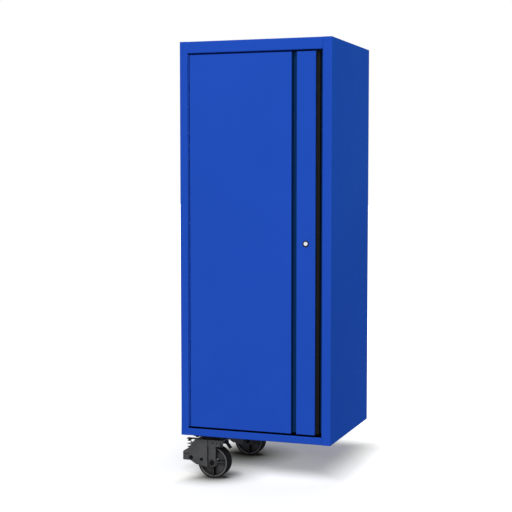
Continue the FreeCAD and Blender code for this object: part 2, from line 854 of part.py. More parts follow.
def finger_trim():
    """Dark trim on the finger recess's floor, wrapped round the door's rear edge at its head."""
    front = GROOVE_DEPTH - TRIM_THICKNESS
    right = DOOR_RIGHT + TRIM_THICKNESS
    path = [
        (right, DOOR_THICKNESS),
        (right, front),
        (STEM_RIGHT + SNUG, front),
    ]
    points, radii = folded(path, TRIM_THICKNESS, FOLD_RADIUS)
    trim = prism(points, radii, "z", DOOR_BOTTOM, DOOR_TOP)
    plain_top = DOOR_TOP - TRIM_RETURN
    return trim.cut(
        block(STEM_RIGHT, right, GROOVE_DEPTH, DOOR_THICKNESS, DOOR_BOTTOM, plain_top)
    )


def door_stiffeners():
    """Hat channels inside the door, between its skin and its inner panel."""
    depth = DOOR_INNER_FACE
    half = STIFFENER_WIDTH / 2
    solids = []
    for number in range(STIFFENER_COUNT):
        share = (number + 1) / (STIFFENER_COUNT + 1)
        x = DOOR_LEFT + (PANEL_RIGHT - DOOR_LEFT) * share
        path = [
            (x - half - STIFFENER_FOOT, DOOR_SHEET),
            (x - half, DOOR_SHEET),
            (x - half, depth - DOOR_SHEET),
            (x + half, depth - DOOR_SHEET),
            (x + half, DOOR_SHEET),
            (x + half + STIFFENER_FOOT, DOOR_SHEET),
        ]
        points, radii = folded(path, DOOR_SHEET, DOOR_SHEET)
        low, high = DOOR_BOTTOM + STIFFENER_END_GAP, DOOR_TOP - STIFFENER_END_GAP
        solids.append(prism(points, radii, "z", low, high))
    return solids


def build_door():
    """Every fixed piece of the door except its hinge leaf, catches and lock."""
    write("door_skin", door_skin())
    write("pull_channel", pull_channel())
    write("pull_strip", pull_strip())
    low, high = DOOR_BOTTOM, DOOR_TOP
    caps = [
        strip_cap(low, low + STRIP_CAP, low, low + CAP_LUG),
        strip_cap(high - STRIP_CAP, high, high - CAP_LUG, high),
    ]
    write("strip_end_caps", *caps)
    write("finger_trim", finger_trim())
    write("door_stiffeners", *door_stiffeners())

    inner = block(DOOR_LEFT, DOOR_RIGHT, DOOR_INNER_FACE, DOOR_THICKNESS, low, high)
    write("door_inner_panel", inner.cut(lock_hole(DOOR_INNER_FACE - 1, DOOR_THICKNESS + 1)))

    screws = []
    seat = GROOVE_DEPTH + DOOR_SHEET
    for z in strip_screw_places():
        start = V(STRIP_CENTRE, GROOVE_DEPTH - STRIP_WALL - SCREW_TIP, z)
        shank = rod(SCREW_SHANK, start, V(STRIP_CENTRE, seat, z))
        head = rod(
            SCREW_HEAD, V(STRIP_CENTRE, seat, z), V(STRIP_CENTRE, seat + SCREW_HEAD_HEIGHT, z)
        )
        screws.append(shank.fuse(head).removeSplitter())
    write("strip_screws", *screws)


# ------------------------------------------------------------------------- hinge


def knuckle_places():
    """Lower and upper end of every knuckle from the door's foot to its head."""
    pitch = (DOOR_TOP - DOOR_BOTTOM) / KNUCKLE_COUNT
    places = []
    for index in range(KNUCKLE_COUNT):
        low = DOOR_BOTTOM + pitch * index
        places.append((low + KNUCKLE_GAP / 2, low + pitch - KNUCKLE_GAP / 2))
    return places


def hinge_leaf(wall, inward, first):
    """Leaf on the face x = wall, reaching inward (+1 or -1), with every second knuckle."""
    edges = sorted((wall, wall + inward * LEAF_SHEET))
    leaf = block(edges[0], edges[1], LEAF_FRONT, LEAF_BACK, DOOR_BOTTOM, DOOR_TOP)
    pieces = []
    for low, high in knuckle_places()[first::2]:
        pieces.append(block(edges[0], edges[1], HINGE_Y, LEAF_FRONT, low, high))
        pieces.append(rod(BARREL_RADIUS, V(HINGE_X, HINGE_Y, low), V(HINGE_X, HINGE_Y, high)))
    bore = rod(
        PIN_RADIUS + RUNNING, V(HINGE_X, HINGE_Y, DOOR_BOTTOM - 1), V(HINGE_X, HINGE_Y, DOOR_TOP + 1)
    )
    leaf = leaf.fuse(pieces).removeSplitter().cut(bore)
    return leaf.cut(hinge_rivet_holes(edges[0] - 1, edges[1] + 1))


def hinge_rivets(wall, inward, sheet):
    """Rivets through a leaf and the sheet behind it, headed on both sides."""
    y = (LEAF_FRONT + LEAF_BACK) / 2
    face = wall + inward * LEAF_SHEET
    tail = wall - inward * sheet
    rivets = []
    for z in hinge_rivet_places():
        shank = rod(RIVET_SHANK, V(tail, y, z), V(face, y, z))
        head = rod(RIVET_HEAD, V(face, y, z), V(face + inward * RIVET_HEAD_HEIGHT, y, z))
        bulb = rod(RIVET_HEAD, V(tail, y, z), V(tail - inward * RIVET_TAIL, y, z))
        rivets.append(shank.fuse([head, bulb]).removeSplitter())
    return rivets


def build_hinge():
    """Piano hinge that fills the gap at the left of the door."""
    write("hinge_frame_leaf", hinge_leaf(OPENING_LEFT, 1, 0))
    write("hinge_door_leaf", hinge_leaf(DOOR_LEFT, -1, 1))
    pin = rod(PIN_RADIUS, V(HINGE_X, HINGE_Y, DOOR_BOTTOM), V(HINGE_X, HINGE_Y, DOOR_TOP))
    write("hinge_pin", pin)
    write("hinge_frame_rivets", *hinge_rivets(OPENING_LEFT, 1, CABINET_SHEET))
    write("hinge_door_rivets", *hinge_rivets(DOOR_LEFT, -1, DOOR_SHEET))


# -------------------------------------------------------------- catches and lock


def lower_catch():
    """Catch behind the lower stop lip: housing, magnet and the door's strike."""
    x = STRIP_RIGHT - CATCH_INSET
    lip_top = OPENING_BOTTOM + STOP_LIP
    bottom = lip_top + LOOSE
    top = bottom + CATCH_HEIGHT
    middle = (bottom + top) / 2
    magnet_front = DOOR_THICKNESS + STRIKE_THICKNESS + LOOSE
    front = magnet_front + MAGNET_PROUD
    half = CATCH_WIDTH / 2
    body = block(x - half, x + half, front, front + CATCH_DEPTH, bottom, top)
    flange = block(
        x - half, x + half, STOP_BACK, STOP_BACK + CATCH_FLANGE, lip_top - CATCH_FLANGE_REACH, top
    )
    magnet = block(
        x - MAGNET_WIDTH / 2,
        x + MAGNET_WIDTH / 2,
        magnet_front,
        magnet_front + MAGNET_DEPTH,
        middle - MAGNET_HEIGHT / 2,
        middle + MAGNET_HEIGHT / 2,
    )
    strike = block(
        x - STRIKE_WIDTH / 2,
        x + STRIKE_WIDTH / 2,
        DOOR_THICKNESS,
        DOOR_THICKNESS + STRIKE_THICKNESS,
        middle - STRIKE_HEIGHT / 2,
        middle + STRIKE_HEIGHT / 2,
    )
    housing = body.fuse(flange).removeSplitter().cut(magnet)
    return housing, magnet, strike


def build_catches():
    """Magnetic catches behind the lower and the upper stop lip."""
    housing, magnet, strike = lower_catch()
    upper = []
    middle = (OPENING_BOTTOM + OPENING_TOP) / 2
    for solid in (housing, magnet, strike):
        upper.append(solid.mirror(V(0, 0, middle), V(0, 0, 1)))
    write("catch_housings", housing, upper[0])
    write("catch_magnets", magnet, upper[1])
    write("catch_strikes", strike, upper[2])


def lock_point(y):
    """Point on the lock's axis at one depth."""
    return V(STRIP_CENTRE, y, LOCK_HEIGHT)


def build_lock():
    """Cam lock through the pull strip; the cam hangs down when it is open."""
    face_back = -LOCK_BEZEL_HEIGHT - LOCK_FACE_RISE + LOCK_FACE_THICKNESS
    housing = rod(LOCK_BEZEL_RADIUS, lock_point(-LOCK_BEZEL_HEIGHT), lock_point(0))
    housing = housing.fuse(rod(LOCK_BARREL_RADIUS, lock_point(-1), lock_point(LOCK_BACK)))
    bore = rod(PLUG_RADIUS + RUNNING, lock_point(-LOCK_BEZEL_HEIGHT - 1), lock_point(LOCK_BACK + 1))
    seat = rod(
        LOCK_FACE_RADIUS + SNUG,
        lock_point(-LOCK_BEZEL_HEIGHT - 1),
        lock_point(face_back + SNUG),
    )
    write("lock_housing", housing.cut([bore, seat]).removeSplitter())

    nut_back = DOOR_THICKNESS + LOCK_NUT_THICKNESS
    nut = hexagon(LOCK_NUT_FLATS, lock_point(DOOR_THICKNESS), lock_point(nut_back))
    nut = nut.cut(lock_hole(DOOR_THICKNESS - 1, nut_back + 1))
    write("lock_nut", nut)

    face = rod(LOCK_FACE_RADIUS, lock_point(face_back - LOCK_FACE_THICKNESS), lock_point(face_back))
    shank = rod(PLUG_RADIUS, lock_point(face_back), lock_point(CAM_FRONT))
    half = CAM_SQUARE / 2
    square = block(
        STRIP_CENTRE - half,
        STRIP_CENTRE + half,
        CAM_FRONT,
        CAM_BACK,
        LOCK_HEIGHT - half,
        LOCK_HEIGHT + half,
    )
    keyway = block(
        STRIP_CENTRE - KEYWAY_WIDTH / 2,
        STRIP_CENTRE + KEYWAY_WIDTH / 2,
        face_back - LOCK_FACE_THICKNESS - 1,
        face_back - LOCK_FACE_THICKNESS + KEYWAY_DEPTH,
        LOCK_HEIGHT - KEYWAY_HEIGHT / 2,
        LOCK_HEIGHT + KEYWAY_HEIGHT / 2,
    )
    screw_depth = CAM_BACK - CAM_SCREW_LENGTH
    screw_hole = rod(CAM_SCREW_RADIUS + RUNNING, lock_point(screw_depth), lock_point(CAM_BACK + 1))
    plug = face.fuse([shank, square]).removeSplitter().cut([keyway, screw_hole])
    write("lock_plug", plug)

    reach = CAM_LENGTH - CAM_WIDTH / 2
    cam = rod(CAM_WIDTH / 2, lock_point(CAM_FRONT), lock_point(CAM_BACK))
    tip = V(0, 0, -reach)
    cam = cam.fuse(
        [
            rod(CAM_WIDTH / 2, lock_point(CAM_FRONT) + tip, lock_point(CAM_BACK) + tip),
            block(
                STRIP_CENTRE - CAM_WIDTH / 2,
                STRIP_CENTRE + CAM_WIDTH / 2,
                CAM_FRONT,
                CAM_BACK,
                LOCK_HEIGHT - reach,
                LOCK_HEIGHT,
            ),
        ]
    ).removeSplitter()
    room = half + SNUG
    socket = block(
        STRIP_CENTRE - room,
        STRIP_CENTRE + room,
        CAM_FRONT - 1,
        CAM_BACK + 1,
        LOCK_HEIGHT - room,
        LOCK_HEIGHT + room,
    )
    write("lock_cam", cam.cut(socket))

    screw = rod(CAM_SCREW_RADIUS, lock_point(screw_depth + SNUG), lock_point(CAM_BACK))
    head = rod(CAM_SCREW_HEAD, lock_point(CAM_BACK), lock_point(CAM_BACK + CAM_SCREW_HEIGHT))
    write("cam_screw", screw.fuse(head).removeSplitter())


# ----------------------------------------------------------------------- casters
# Each caster is drawn round its own kingpin: x along the cabinet, y across the wheel,
# z from the cabinet's lower face, with the brake towards -x.


def caster_plate():
    """Mounting plate with the fixed half of the swivel race."""
    half_x, half_y = PLATE_LENGTH / 2, PLATE_WIDTH / 2
    corners = [(-half_x, -half_y), (half_x, -half_y), (half_x, half_y), (-half_x, half_y)]
    plate = prism(corners, [PLATE_CORNER] * 4, "z", -PLATE_THICKNESS, 0)
    race = rod(RACE_OUTER, V(0, 0, -PLATE_THICKNESS - RACE_HEIGHT), V(0, 0, -PLATE_THICKNESS))
    cuts = [
        rod(RACE_INNER, V(0, 0, -PLATE_THICKNESS - RACE_HEIGHT - 1), V(0, 0, -PLATE_THICKNESS)),
        rod(KINGPIN_RADIUS + RUNNING, V(0, 0, -PLATE_THICKNESS - 1), V(0, 0, 1)),
    ]
    for dx in (-BOLT_SPACING_X / 2, BOLT_SPACING_X / 2):
        for dy in (-BOLT_SPACING_Y / 2, BOLT_SPACING_Y / 2):
            cuts.append(
                rod(BOLT_RADIUS + HOLE_PLAY, V(dx, dy, -PLATE_THICKNESS - 1), V(dx, dy, 1))
            )
    return plate.fuse(race).cut(cuts)


def kingpin():
    """Pin through the plate and the crown, with the nut that carries the fork."""
    nut_top = CROWN_UNDER - LOOSE
    nut_bottom = nut_top - KINGPIN_NUT_HEIGHT
    pin = rod(KINGPIN_RADIUS, V(0, 0, nut_bottom), V(0, 0, 0))
    nut = hexagon(KINGPIN_FLATS, V(0, 0, nut_bottom), V(0, 0, nut_top))
    return pin.fuse(nut).removeSplitter()


def fork_side():
    """Near side of the fork: skirt of the crown and the leg down to the axle."""
    leg_left = WHEEL_LEAD - LEG_WIDTH / 2
    leg_right = WHEEL_LEAD + LEG_WIDTH / 2
    skirt_bottom = CROWN_TOP - CROWN_SKIRT
    points = [
        (-CROWN_BEHIND, CROWN_TOP),
        (CROWN_AHEAD, CROWN_TOP),
        (CROWN_AHEAD, skirt_bottom),
        (leg_right, skirt_bottom),
        (leg_right, AXLE_Z),
        (leg_left, AXLE_Z),
        (leg_left, skirt_bottom),
        (-CROWN_BEHIND, skirt_bottom),
    ]
    fillet = LEG_FILLET
    radii = [0, 0, fillet, fillet, 0, 0, 0, fillet]
    side = prism(points, radii, "y", -LEG_OUTER, -LEG_INNER)
    boss = rod(
        LEG_WIDTH / 2, V(WHEEL_LEAD, -LEG_OUTER, AXLE_Z), V(WHEEL_LEAD, -LEG_INNER, AXLE_Z)
    )
    return side.fuse(boss).removeSplitter()


def fork():
    """Pressed fork: crown over the wheel and a leg on each side."""
    crown = block(-CROWN_BEHIND, CROWN_AHEAD, -LEG_INNER, LEG_INNER, CROWN_UNDER, CROWN_TOP)
    side = fork_side()
    whole = crown.fuse([side, mirror_y(side)]).removeSplitter()
    pin_hole = rod(KINGPIN_RADIUS + RUNNING, V(0, 0, CROWN_UNDER - 1), V(0, 0, CROWN_TOP + 1))
    axle_hole = rod(
        AXLE_RADIUS + RUNNING,
        V(WHEEL_LEAD, -LEG_OUTER - 1, AXLE_Z),
        V(WHEEL_LEAD, LEG_OUTER + 1, AXLE_Z),
    )
    return whole.cut([pin_hole, axle_hole])


def axle():
    """Bolt through both legs, its nut, and the sleeve that the wheel turns on."""
    head_face = V(WHEEL_LEAD, -LEG_OUTER, AXLE_Z)
    nut_face = V(WHEEL_LEAD, LEG_OUTER, AXLE_Z)
    out = V(0, 1, 0)
    bolt = rod(AXLE_RADIUS, head_face, nut_face + out * AXLE_NUT_HEIGHT)
    head = hexagon(AXLE_FLATS, head_face - out * AXLE_HEAD_HEIGHT, head_face)
    nut = hexagon(AXLE_FLATS, nut_face, nut_face + out * AXLE_NUT_HEIGHT)
    nut = nut.cut(rod(AXLE_RADIUS, nut_face - out, nut_face + out * (AXLE_NUT_HEIGHT + 1)))
    sleeve = ring(
        AXLE_RADIUS + SLEEVE_WALL,
        AXLE_RADIUS + RUNNING,
        V(WHEEL_LEAD, -LEG_INNER, AXLE_Z),
        V(WHEEL_LEAD, LEG_INNER, AXLE_Z),
    )
    return [bolt.fuse(head).removeSplitter(), nut, sleeve]


def wheel_core():
    """Cast core: hub, web, rim, and ribs on both sides of the web."""
    centre = V(WHEEL_LEAD, 0, AXLE_Z)
    bore = AXLE_RADIUS + SLEEVE_WALL + RUNNING
    inner_rim = RIM_RADIUS - RIM_THICKNESS
    hub, web, rim = HUB_WIDTH / 2, WEB_THICKNESS / 2, RIM_WIDTH / 2
    near = [
        (bore, -hub),
        (HUB_RADIUS, -hub),
        (HUB_RADIUS, -web),
        (inner_rim, -web),
        (inner_rim, -rim),
        (RIM_RADIUS, -rim),
    ]
    far = [(radius, -y) for radius, y in near[::-1]]
    core = lathe_y(near + far, centre)
    ribs = []
    overlap = RIM_THICKNESS / 2
    for index in range(RIB_COUNT):
        rib = block(
            -RIB_THICKNESS / 2,
            RIB_THICKNESS / 2,
            -RIB_WIDTH / 2,
            RIB_WIDTH / 2,
            -inner_rim - overlap,
            -HUB_RADIUS + overlap,
        )
        rib.rotate(V(0, 0, 0), V(0, 1, 0), 360 * index / RIB_COUNT)
        rib.translate(centre)
        ribs.append(rib)
    return core.fuse(ribs).removeSplitter()


def tyre():
    """Solid tread with rounded shoulders round the rim."""
    centre = V(WHEEL_LEAD, 0, AXLE_Z)
    half, rim = WHEEL_WIDTH / 2, RIM_WIDTH / 2
    corners = [
        (RIM_RADIUS, -rim),
        (RIM_RADIUS + TYRE_DEPTH / 3, -half),
        (WHEEL_RADIUS, -half),
        (WHEEL_RADIUS, half),
        (RIM_RADIUS + TYRE_DEPTH / 3, half),
        (RIM_RADIUS, rim),
    ]
    radii = [0, 0, TYRE_SHOULDER, TYRE_SHOULDER, 0, 0]
    face = Part.Face(outline(corners, radii, "z", 0))
    face.translate(centre)
    return face.revolve(centre, V(0, 1, 0), 360)


def brake_cover():
    """Near side plate of the brake, beside the leg, outside the crown's skirt."""
    right = WHEEL_LEAD - LEG_WIDTH / 2 - BRAKE_LEG_SLOT
    points = [
        (-CROWN_BEHIND, CROWN_TOP - LOOSE),
        (right, CROWN_TOP - LOOSE),
        (right, -BRAKE_BOTTOM),
        (-BRAKE_BELLY_BEHIND, -BRAKE_BELLY_DROP),
        (-BRAKE_HEEL_BEHIND, -BRAKE_HEEL_DROP),
        (-BRAKE_REACH, -PIVOT_DROP),
        (-BRAKE_REACH, -BRAKE_SHOULDER_DROP),
        (-BRAKE_CHEEK_BEHIND, -BRAKE_CHEEK_DROP),
        (-BRAKE_TOP_BEHIND, CROWN_TOP - COVER_TOP_EDGE),
    ]
    radii = [0, 0] + [BRAKE_CORNER] * 6 + [0]
    return prism(points, radii, "y", -COVER_OUTER, -LEG_OUTER)


def brake_bracket():
    """Both side plates, the tie and pivot pins between them, and the spring's seat."""
    cover = brake_cover()
    pieces = [mirror_y(cover)]
    reach = COVER_OUTER + PIVOT_HEAD_HEIGHT
    pivot = V(-PIVOT_BEHIND, 0, -PIVOT_DROP)
    tie = V(-TIE_BEHIND, 0, -TIE_DROP)
    across = V(0, 1, 0)
    pieces.append(rod(PIVOT_RADIUS, pivot - across * reach, pivot + across * reach))
    pieces.append(rod(TIE_RADIUS, tie - across * reach, tie + across * reach))
    for side in (-1, 1):
        face = across * (side * COVER_OUTER)
        outer = across * (side * reach)
        pieces.append(rod(PIVOT_HEAD, pivot + face, pivot + outer))
        pieces.append(rod(COVER_BOLT_HEAD, tie + face, tie + outer))
        bolt = V(-COVER_BOLT_BEHIND, 0, -COVER_BOLT_DROP)
        bolt_top = across * (side * (COVER_OUTER + COVER_BOLT_HEIGHT))
        pieces.append(rod(COVER_BOLT_HEAD, bolt + face, bolt + bolt_top))
    half = SPRING_SEAT_WIDTH / 2
    seat_end = -SPRING_BEHIND - SPRING_RADIUS - SPRING_WIRE
    seat_bottom = CROWN_UNDER - SPRING_SEAT_THICKNESS
    web_half = SPRING_SEAT_THICKNESS / 2
    pieces.append(
        block(seat_end, -KINGPIN_FLATS, -half, half, seat_bottom, CROWN_UNDER)
    )
    pieces.append(
        block(-TIE_BEHIND - web_half, -TIE_BEHIND + web_half, -half, half, -TIE_DROP, CROWN_UNDER)
    )
    peg_top = V(-SPRING_BEHIND, 0, seat_bottom)
    peg_radius = SPRING_RADIUS - SPRING_WIRE - LOOSE
    pieces.append(rod(peg_radius, peg_top - V(0, 0, SPRING_SEAT_LENGTH), peg_top))
    return cover.fuse(pieces).removeSplitter()


def brake_spring():
    """Coil between the seat under the crown and the top of the pedal."""
    top = CROWN_UNDER - SPRING_SEAT_THICKNESS - SPRING_WIRE - SNUG
    bottom = -PEDAL_TOP + SPRING_WIRE + SNUG
    height = top - bottom
    helix = Part.makeHelix(height / SPRING_TURNS, height, SPRING_RADIUS)
    circle = Part.makeCircle(SPRING_WIRE, V(SPRING_RADIUS, 0, 0), V(0, 1, 0))
    coil = Part.Wire(helix).makePipeShell([Part.Wire(circle)], True, True)
    coil.translate(V(-SPRING_BEHIND, 0, bottom))
    return coil


def brake_pedal():
    """Foot pedal: pressed cover, cheeks round the pivot, peg of the spring and shoe."""
    pivot = V(-PIVOT_BEHIND, 0, -PIVOT_DROP)
    axle_centre = V(WHEEL_LEAD, 0, AXLE_Z)
    half = PEDAL_WIDTH / 2
    shoe_face = WHEEL_RADIUS + SHOE_GAP
    shoe_left = WHEEL_LEAD - shoe_face - SHOE_THICKNESS
    flat_start = -SPRING_BEHIND - SPRING_RADIUS - SPRING_WIRE
    flat_end = -SPRING_BEHIND + SPRING_RADIUS + SPRING_WIRE
    points = [
        (-PEDAL_REACH, -PEDAL_NOSE_TOP),
        (flat_start, -PEDAL_TOP),
        (flat_end, -PEDAL_TOP),
        (shoe_left, -PIVOT_DROP + PIVOT_HEAD),
        (shoe_left, AXLE_Z - SHOE_SPAN / 2),
        (-PIVOT_BEHIND, -PEDAL_BOTTOM),
        (-PEDAL_REACH, -PEDAL_BOTTOM),
    ]
    radii = [PEDAL_CORNER] * 4 + [0, 0, PEDAL_CORNER]
    body = prism(points, radii, "y", -half, half)
    wall = PEDAL_WALL
    hollow = [
        (-PEDAL_REACH + wall, -PEDAL_NOSE_TOP - wall),
        (flat_start, -PEDAL_TOP - wall),
        (flat_end, -PEDAL_TOP - wall),
        (shoe_left - wall, -PIVOT_DROP + PIVOT_HEAD),
        (shoe_left - wall, AXLE_Z - SHOE_SPAN),
        (-PEDAL_REACH + wall, AXLE_Z - SHOE_SPAN),
    ]
    pocket = prism(hollow, [0] * 6, "y", -half + wall, half - wall)
    side = V(0, SHOE_WIDTH / 2, 0)
    shoe = block(
        shoe_left - wall / 2,
        shoe_left + SHOE_THICKNESS + wall,
        -SHOE_WIDTH / 2,
        SHOE_WIDTH / 2,
        AXLE_Z - SHOE_SPAN / 2,
        AXLE_Z + SHOE_SPAN / 2,
    )
    shoe = shoe.cut(rod(shoe_face, axle_centre - side, axle_centre + side))
    peg_foot = V(-SPRING_BEHIND, 0, -PEDAL_TOP - wall / 2)
    peg = rod(
        SPRING_RADIUS - SPRING_WIRE - LOOSE,
        peg_foot,
        V(-SPRING_BEHIND, 0, -PEDAL_TOP + SPRING_SEAT_LENGTH),
    )
    hole = rod(PIVOT_RADIUS + RUNNING, pivot - V(0, half + 1, 0), pivot + V(0, half + 1, 0))
    pedal = body.cut(pocket).fuse([shoe, peg]).removeSplitter()
    return pedal.cut(hole)


def wheel_guard():
    """Bent strip under the crown that slopes down ahead of the wheel."""
    half = GUARD_WIDTH / 2
    path = [
        (GUARD_REACH, -GUARD_DROP),
        (CROWN_AHEAD, CROWN_UNDER),
        (CROWN_AHEAD - GUARD_SEAT, CROWN_UNDER),
    ]
    points, radii = folded(path, GUARD_SHEET, FOLD_RADIUS)
    return prism(points, radii, "y", -half, half)


def build_casters():
    """Two braked swivel casters under the left side."""
    for name, place in CASTER_PLACES.items():
        nodes = {
            "caster_plate": [caster_plate()],
            "kingpin": [kingpin()],
            "fork": [fork()],
            "axle": axle(),
            "wheel_core": [wheel_core()],
            "tyre": [tyre()],
            "brake_bracket": [brake_bracket()],
            "brake_spring": [brake_spring()],
            "brake_pedal": [brake_pedal()],
            "wheel_guard": [wheel_guard()],
        }
        for node, solids in nodes.items():
            for solid in solids:
                solid.translate(place)
            write(f"{name}_{node}", *solids)

    bolts, nuts = [], []
    nut_low = CABINET_SHEET + CHANNEL_SHEET
    nut_high = nut_low + BOLT_NUT_HEIGHT
    up = V(0, 0, 1)
    for place in caster_bolt_places():
        under = place - up * PLATE_THICKNESS
        shank = rod(BOLT_RADIUS, under, place + up * (nut_high + BOLT_THREAD_SPARE))
        head = hexagon(BOLT_FLATS, under - up * BOLT_HEAD_HEIGHT, under)
        bolts.append(shank.fuse(head).removeSplitter())
        nut = hexagon(BOLT_FLATS, place + up * nut_low, place + up * nut_high)
        nuts.append(nut.cut(rod(BOLT_RADIUS, place, place + up * (nut_high + 1))))
    write("caster_bolts", *bolts)
    write("caster_nuts", *nuts)


build_cabinet()
build_seal()
build_shelves()
build_door()
build_hinge()
build_catches()
build_lock()
build_casters()
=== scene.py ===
import json
import math

import bmesh
import bpy
from mathutils import Matrix, Vector

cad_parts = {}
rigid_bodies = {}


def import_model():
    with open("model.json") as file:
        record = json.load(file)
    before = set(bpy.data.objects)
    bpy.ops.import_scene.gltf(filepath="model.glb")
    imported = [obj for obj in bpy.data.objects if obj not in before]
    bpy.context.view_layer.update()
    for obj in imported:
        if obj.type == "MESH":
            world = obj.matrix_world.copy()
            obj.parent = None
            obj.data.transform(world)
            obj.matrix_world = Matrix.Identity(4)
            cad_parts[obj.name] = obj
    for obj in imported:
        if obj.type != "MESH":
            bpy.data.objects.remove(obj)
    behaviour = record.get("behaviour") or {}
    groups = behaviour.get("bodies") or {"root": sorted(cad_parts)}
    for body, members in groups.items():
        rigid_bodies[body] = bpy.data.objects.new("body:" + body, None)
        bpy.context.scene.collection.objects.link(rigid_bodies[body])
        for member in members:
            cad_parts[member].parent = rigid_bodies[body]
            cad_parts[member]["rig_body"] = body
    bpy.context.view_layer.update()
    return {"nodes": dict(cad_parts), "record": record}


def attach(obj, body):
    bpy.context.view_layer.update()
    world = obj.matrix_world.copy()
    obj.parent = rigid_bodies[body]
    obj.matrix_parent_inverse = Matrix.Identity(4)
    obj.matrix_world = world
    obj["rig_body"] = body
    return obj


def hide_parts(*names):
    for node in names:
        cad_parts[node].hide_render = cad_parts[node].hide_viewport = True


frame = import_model()
nodes = frame["nodes"]

X, Y, Z = range(3)

# lower front left corner of the cabinet in the shared frame, in metres
CABINET_CORNER = Vector((-0.6125, -0.278, -0.7685))

# the cabinet in millimetres: x from the left side, y back from the frame, z up from the lower edge
FLOOR_MIDDLE = (306.0, 278.0)
FLOOR_DROP = 175.0
KINGPIN_PLACES = {"front": (100.5, 70.0), "rear": (100.5, 486.0)}
LOCK_PLACE = (513.5, 0.0, 765.0)
FRAME_JOINTS = (33.0, 576.5)
FRAME_RAILS = ((0.0, 29.5), (1492.0, 1537.0))
WELD_WIDTH = 2.0
WELD_THICKNESS = 0.42
WELD_SET_BACK = 0.09
WELD_SHORT_BY = 3.0
DOOR_SPAN = (30.0, 582.5)
DOOR_FOOT_GAP = (27.5, 38.5)
DOOR_FACE_DEPTH = (0.3, 1.5)
PULL_SPAN = (453.0, 577.5)
PULL_DEPTH = (0.5, 9.0)
FRAME_BACK = (46.0, 48.0)
TRIM_SHADED_SIDE = (554.5, 557.0)

# wheels in millimetres and degrees; the dark line and the nipple's foot are taken from a wheel's
# middle
AXLE_DROP = 111.5
WHEEL_LEAD = 16.0
WHEEL_RADIUS = 63.5
TYRE_HALF_WIDTH = 25.4
TYRE_SEAT = 58.5
TYRE_STEPS = 96
RIM_LIP_START = 54.0
RIM_HALF_WIDTH = 22.0
DARK_LINE_ACROSS = (-0.5, 6.5)
DARK_LINE_DOWN = (-58.0, -16.0)
HUB_REACH = 19.0
HUB_SIDE = -16.0
NIPPLE_LEAN = 33.0

# casters in millimetres and degrees: x and y from the kingpin, z from the cabinet's lower edge;
# the third number of a dark spot is its radius, and the spot on the spring seat is painted shade
BRAKE_HEADS = ((-72.0, -96.0, 8.1), (-27.0, -100.0, 6.1))
SPRING_SEAT_SHADE = (-96.0, -30.0, 17.0)
SKIRT_FACE = 34.0
CROWN_RIVETS = ((20.0, -33.0), (36.5, -33.0), (52.5, -33.0))
GUARD_SCREW = (55.0, -41.0)
RIVET_STEPS = 16
SCREW_STEPS = 20
PEDAL_HALF_WIDTH = 31.0
PEDAL_STRIP = (-95.5, -83.5)
PEDAL_STRIP_SIZE = (25.0, 1.6, 2.0)
PEDAL_RIBS = (-107.4, -105.5, -103.6)
PEDAL_RIB_SIZE = (1.1, 50.0, 1.6)
PEDAL_NOSE = (-109.0, -74.5)
PEDAL_NOSE_RISE = 4.5 / 6.8
PEDAL_NOSE_TILT = -33.5

# painted shade where a place is shut in: how far it feels in metres, then openness from shut in to
# clear
GAP_SHADE = (0.05, 0.60, 0.88)
CONTACT_SHADE = (0.17, 0.46, 0.97)
WIDE_SHADE = (0.60, 0.25, 0.65)

# pools of painted shadow on the floor: x and y in millimetres, two reaches in metres, light left
# inside
FLOOR_POOLS = (
    (150.0, 128.0, 0.020, 0.170, 0.60),
    (150.0, 124.0, 0.0, 0.070, 0.35),
    (102.0, 476.0, 0.045, 0.240, 0.33),
)

# where the floor's painted shadow gives way to painted light, in millimetres of the cabinet, from
# shaded to open
LIT_AHEAD = (335.0, 130.0)
LIT_BEHIND = (750.0, 940.0)
LIT_RIGHT = (440.0, 660.0)
LIT_BESIDE = (600.0, 720.0)
LIT_LEFT = (60.0, -80.0)
LEFT_EDGE = (110.0, -20.0)
LEFT_EDGE_BACK = (340.0, 200.0)

# how far from the cabinet the floor counts as far and is painted fully light, in metres
FAR_FLOOR = (0.75, 1.30)

# camera: place in metres, turned to the left and down in degrees, lens and sensor in millimetres
CAMERA_PLACE = (1.2677, -4.6648, 0.2625)
CAMERA_TURN = 19.645
CAMERA_DOWN = 3.884
CAMERA_LENS = 85.78
CAMERA_SENSOR = 36.0

# range that a noise mostly stays in
NOISE_SPAN = (0.3, 0.7)

# colours of the paint, of painted shade, and of dark lines and spots
PALE_BLUE = (0.0187, 0.0835, 0.530)
MID_BLUE = (0.0162, 0.0780, 0.494)
DEEP_BLUE = (0.0154, 0.0735, 0.474)
PULL_SHADE_BLUE = (0.0060, 0.042, 0.155)
GAP_SHADE_BLACK = (0.0005, 0.001, 0.006)
NEAR_BLACK = (0.004, 0.004, 0.004)
DARK_SPOT_BLACK = (0.006, 0.006, 0.006)


def place(x, y, z):
    """A point of the cabinet in the shared frame, in metres."""
    return CABINET_CORNER + Vector((x, y, z)) / 1000.0


def levels(axis, *places):
    """Places along one axis of the cabinet, in metres of the shared frame."""
    return [place(here, here, here)[axis] for here in places]


def wheel_centre(end):
    """Middle of a wheel, on its axle."""
    x, y = KINGPIN_PLACES[end]
    return place(x + WHEEL_LEAD, y, -AXLE_DROP)


# --------------------------------------------------------------------------------- node group tools


def new_group(name, inputs, outputs):
    """Shader node group with the named sockets, its entry and its way out."""
    group = bpy.data.node_groups.new(name, "ShaderNodeTree")
    for label, kind, default in inputs:
        socket = group.interface.new_socket(label, in_out="INPUT", socket_type=kind)
        if default is not None:
            socket.default_value = default
    for label, kind in outputs:
        group.interface.new_socket(label, in_out="OUTPUT", socket_type=kind)
    entry = group.nodes.new("NodeGroupInput")
    leave = group.nodes.new("NodeGroupOutput")
    return group, entry, leave


